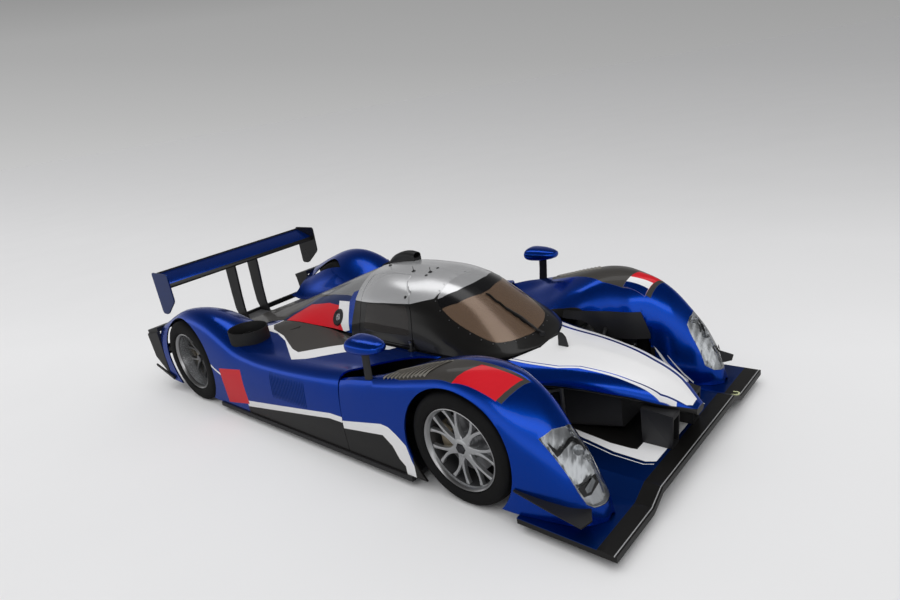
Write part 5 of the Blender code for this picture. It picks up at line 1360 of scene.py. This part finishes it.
for n, (y, z) in enumerate(((0.062, 0.030), (0.066, 0.006), (-0.062, 0.030), (-0.066, 0.006), (0.030, -0.022),
                            (0.0, -0.024), (-0.030, -0.022))):
    button = solid(f"steering_button_{n}", lathe([(0.0, 0.004), (0.0045, 0.004), (0.006, 0.002),
                                                  (0.006, -0.003)], 20),
                   (painted(f"button_{n}", ("red", "white", "blue", "grey")[n % 4]),))
    button.data.transform(Matrix.Translation(on_wheel(-0.0095, y, z)) @ facing)


# Mirrors. Each is a moulded blue pod with a glass let into its rear face, on a slim
# blade of a stalk that is bonded to the fender behind the wheel.
mirror_blue = painted("mirror_blue", "blue")
pod_y, pod_z = 0.914, 0.838
pod_stops = [(0.6205, 0.074, 0.038), (0.626, 0.078, 0.042), (0.660, 0.085, 0.050), (0.700, 0.0855, 0.0500),
             (0.740, 0.083, 0.048), (0.785, 0.075, 0.042), (0.820, 0.064, 0.035), (0.850, 0.046, 0.026),
             (0.866, 0.026, 0.015), (0.8699, 0.006, 0.004)]
pod_places = np.concatenate([np.linspace(0.6205, 0.86, 30), [0.864, 0.867, 0.869, 0.8699]])
pod_rings = []
for x, half_y, half_z in through([s[0] for s in pod_stops], pod_stops, pod_places):
    pod_rings.append([(x, pod_y + half_y * np.sign(c) * abs(c) ** 0.75,
                       pod_z + half_z * np.sign(d) * abs(d) ** 0.85)
                      for c, d in circle((0, 0), 1, 48)])


def in_pod(wide, tall, places):
    """A slab inside the pod's rear face, its outline smaller by wide and tall, between two places."""
    return loft([[(x, pod_y + wide * (y - pod_y), pod_z + tall * (z - pod_z)) for _, y, z in pod_rings[1]]
                 for x in places])


pod = solid("mirror_pod_left", loft(pod_rings), (mirror_blue,), sharp=45)
trim(pod, [in_pod(0.87, 0.84, (0.60, 0.634))], sharp=45)
stalk_stops = [(0.582, 0.748, 0.668, 0.0085, 0.929), (0.640, 0.749, 0.678, 0.0070, 0.930),
               (0.720, 0.757, 0.688, 0.0065, 0.931), (0.806, 0.766, 0.694, 0.0068, 0.931)]
stalk_rings = []
for z, front, rear, half, middle in stalk_stops:
    centre, reach = (front + rear) / 2, (front - rear) / 2
    stalk_rings.append([(centre + reach * c, middle + half * d, z) for c, d in circle((0, 0), 1, 24)])
stalk = solid("mirror_stalk_left", loft(stalk_rings), (dark_moulding,), sharp=50)
fender_skin = grid_of(FENDER, np.linspace(0.60, 0.85, 14), 5)[:, 12:28]
trim(stalk, [shell_of(fender_skin + 0.0006 * grid_normals(fender_skin), 0.10)], sharp=50)
mirror_face = brushed("mirror_glass", (0.88, 0.89, 0.90), rough=0.04, scale=3.0, swing=0.03)
looking = solid("mirror_face_left", in_pod(0.86, 0.83, (0.629, 0.633)), (mirror_face,))
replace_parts(pod, "mirror_left")
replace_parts(other_side(pod), "mirror_right")
other_side(stalk)
other_side(looking)

# Roof intake. A black fairing on the left of the roof with an open mouth to the front,
# cut to stand on the cabin's skin and to clear the engine cover behind it.
snorkel_y, snorkel_foot = 0.116, 0.900
snorkel_stops = [(-0.110, 0.976, 0.0235), (-0.050, 1.021, 0.0315), (0.040, 1.059, 0.0375),
                 (0.140, 1.0735, 0.0398), (0.200, 1.0655, 0.0378)]
rings = []
for x, top, half in through([s[0] for s in snorkel_stops], snorkel_stops, np.linspace(-0.110, 0.200, 26)):
    dome = [(x, snorkel_y + half * cos(t), top - 0.030 + 0.030 * sin(t)) for t in np.linspace(0.0, pi, 17)]
    rings.append([(x, snorkel_y + half, snorkel_foot), *dome, (x, snorkel_y - half, snorkel_foot)])
intake = solid("roof_intake", loft(rings), (bare_carbon,), sharp=45)
mouth = [[(x, snorkel_y + 0.0378 * shrink * cos(t), 1.041 + 0.0215 * shrink * sin(t))
          for t in np.linspace(0, 2 * pi, 25)[:-1]]
         for x, shrink in ((0.120, 0.55), (0.150, 0.78), (0.190, 0.90), (0.215, 0.93))]
trim(intake, [loft(mouth)], sharp=45)
trim(intake, [under_cabin(0.0012)], sharp=45)
cover_leans = grid_normals(cover_grid)
cover_above = cover_grid + 0.0006 * cover_leans
trim(intake, [shell_of(cover_above, 0.12)], sharp=45)
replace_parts(intake, "roof_snorkel")

# Roof fittings. Three short aerials on feet, flush caps, a single wiper on the screen
# with its spindle at the foot of it, and a row of screws round the screen.
cabin_fine = full_grid(CABIN, np.linspace(cabin_back, cabin_front, 240), 12)
cabin_leans = grid_normals(cabin_fine)


def nearest(grid, leans, x, other, axis, barred):
    """The grid's point nearest to x and to the other place on the axis, if not barred, and its normal."""
    far = (grid[:, :, 0] - x) ** 2 + (grid[:, :, axis] - other) ** 2 + 10.0 * barred
    i, j = np.unravel_index(np.argmin(far), far.shape)
    return Vector(grid[i, j]), Vector(leans[i, j])


def on_roof(x, y):
    """The point of the cabin's outside over x, y and its outward normal."""
    return nearest(cabin_fine, cabin_leans, x, y, 1,
                   (cabin_fine[:, :, 2] < 0.70) & (cabin_fine[:, :, 0] < 1.0))


for n, (x, y, tall) in enumerate(((0.050, -0.022, 0.052), (0.384, -0.114, 0.038), (0.515, -0.088, 0.038))):
    spot, lean = on_roof(x, y)
    stood(f"aerial_foot_{n}", [(0.0, 0.010), (0.004, 0.010), (0.007, 0.006), (0.013, 0.003), (0.015, 0.0),
                               (0.015, -0.001), (0.0, -0.001)], 24, spot, lean, dark_moulding, slot="carbon")
    stood(f"aerial_{n}", [(0.0, tall), (0.0016, tall - 0.001), (0.0022, tall - 0.006), (0.0022, 0.008),
                          (0.0, 0.008)],
          12, spot, lean, dark_moulding, slot="carbon")

for n, (x, y, rider) in enumerate(((0.520, -0.008, "chassis"), (0.524, -0.139, "chassis"),
                                   (0.498, 0.339, "door_left_body"))):
    cap = stood(f"roof_cap_{n}", [(0.0, 0.0022), (0.009, 0.0022), (0.011, 0.0010), (0.011, -0.001)], 32,
                *on_roof(x, y), dark_moulding, rider, "carbon")
other_side(cap, body="door_right_body")

blade_view = [(0.915, -0.020), (1.025, 0.000), (1.138, 0.018), (1.230, 0.028)]
blade = []
for x, y in through(range(len(blade_view)), blade_view, np.linspace(0, len(blade_view) - 1, 20)):
    spot, lean = on_roof(x, y)
    blade.append(spot + lean * 0.009)
solid("wiper_blade", tube(blade, [0.003] + [0.0070] * 18 + [0.003], 8), (tyre_rubber,))
arm_path = [blade[8] + Vector((0, 0, 0.009)), blade[13] + Vector((0.0, 0.002, 0.015))]
spindle_at = (1.295, 0.020)
for x, y in ((1.255, 0.024), spindle_at):
    spot, lean = on_roof(x, y)
    arm_path.append(spot + lean * 0.012)
solid("wiper_arm", tube(arm_path, [0.0050, 0.0065, 0.0080, 0.0090], 10), (dark_moulding,))
stood("wiper_spindle", [(0.0, 0.020), (0.009, 0.020), (0.014, 0.015), (0.015, 0.006), (0.020, 0.0),
                        (0.020, -0.001), (0.0, -0.001)], 32, *on_roof(*spindle_at), dark_moulding,
      slot="carbon")


edge = grown(screen_view, 0.014)
lengths = np.cumsum([0] + [np.hypot(*(np.array(b) - a)) for a, b in zip(edge, edge[1:])])
head, sides = lathe([(0.0, 0.0016), (0.0042 * 0.35, 0.0016), (0.0042 * 0.38, 0.0009), (0.0042 * 0.5, 0.0018),
                     (0.0042 * 0.85, 0.0013), (0.0042, 0.0002), (0.0042, -0.001), (0.0, -0.001)], 14)
screws = []
for s in np.linspace(0, lengths[-1], 30)[:-1]:
    spot, lean = on_roof(*[float(np.interp(s, lengths, [p[k] for p in edge])) for k in (0, 1)])
    turn = lean.to_track_quat("Z", "Y")
    screws.append(([tuple(spot + turn @ Vector(p)) for p in head], sides))
solid("screen_screws", gathered(screws), (steel,), sharp=40)

# Nose fin. A small upright blade of dark composite just ahead of the screen, a little
# to the right of the middle, with its foot in the nose's skin.
fin_view = [(1.450, 0.570), (1.520, 0.570), (1.505, 0.640), (1.480, 0.664), (1.456, 0.664)]
eased(solid("nose_fin", prism(rounded(fin_view, 0.010), -0.042, -0.030, 1), (dark_moulding,)),
      0.002)

# Refuelling coupling. A round dry-break socket let into the red panel on each side of
# the engine cover, a dark ring with a bright inner collar.
for word, side in (("right", -1), ("left", 1)):
    place = nearest(cover_grid, cover_leans, -0.252, 0.688, 2, cover_grid[:, :, 1] * side < 0)
    stood(f"coupling_ring_{word}", [(0.026, -0.004), (0.026, 0.004), (0.038, 0.006), (0.041, 0.010),
                                    (0.056, 0.011), (0.062, 0.007), (0.064, 0.0), (0.064, -0.010)], 64,
          *place, dark_moulding, slot="carbon")
    stood(f"coupling_collar_{word}", [(0.0, 0.001), (0.013, 0.001), (0.018, 0.005), (0.026, 0.0055),
                                      (0.0285, 0.003), (0.0285, -0.004)], 48, *place, wheel_silver)

# Tow hook. A painted steel loop that stands ahead of the splitter's underside on the
# left, for a strap to be passed through.
hook_paint = brushed("hook_paint", (0.60, 0.64, 0.36), rough=0.45, metallic=0.0, scale=30.0)
hook_path = [(2.236, 0.600, 0.094), (2.262, 0.602, 0.098), (2.276, 0.612, 0.099), (2.276, 0.632, 0.099),
             (2.262, 0.642, 0.098), (2.236, 0.644, 0.094)]
solid("tow_hook", tube(hook_path, 0.0045), (hook_paint,))
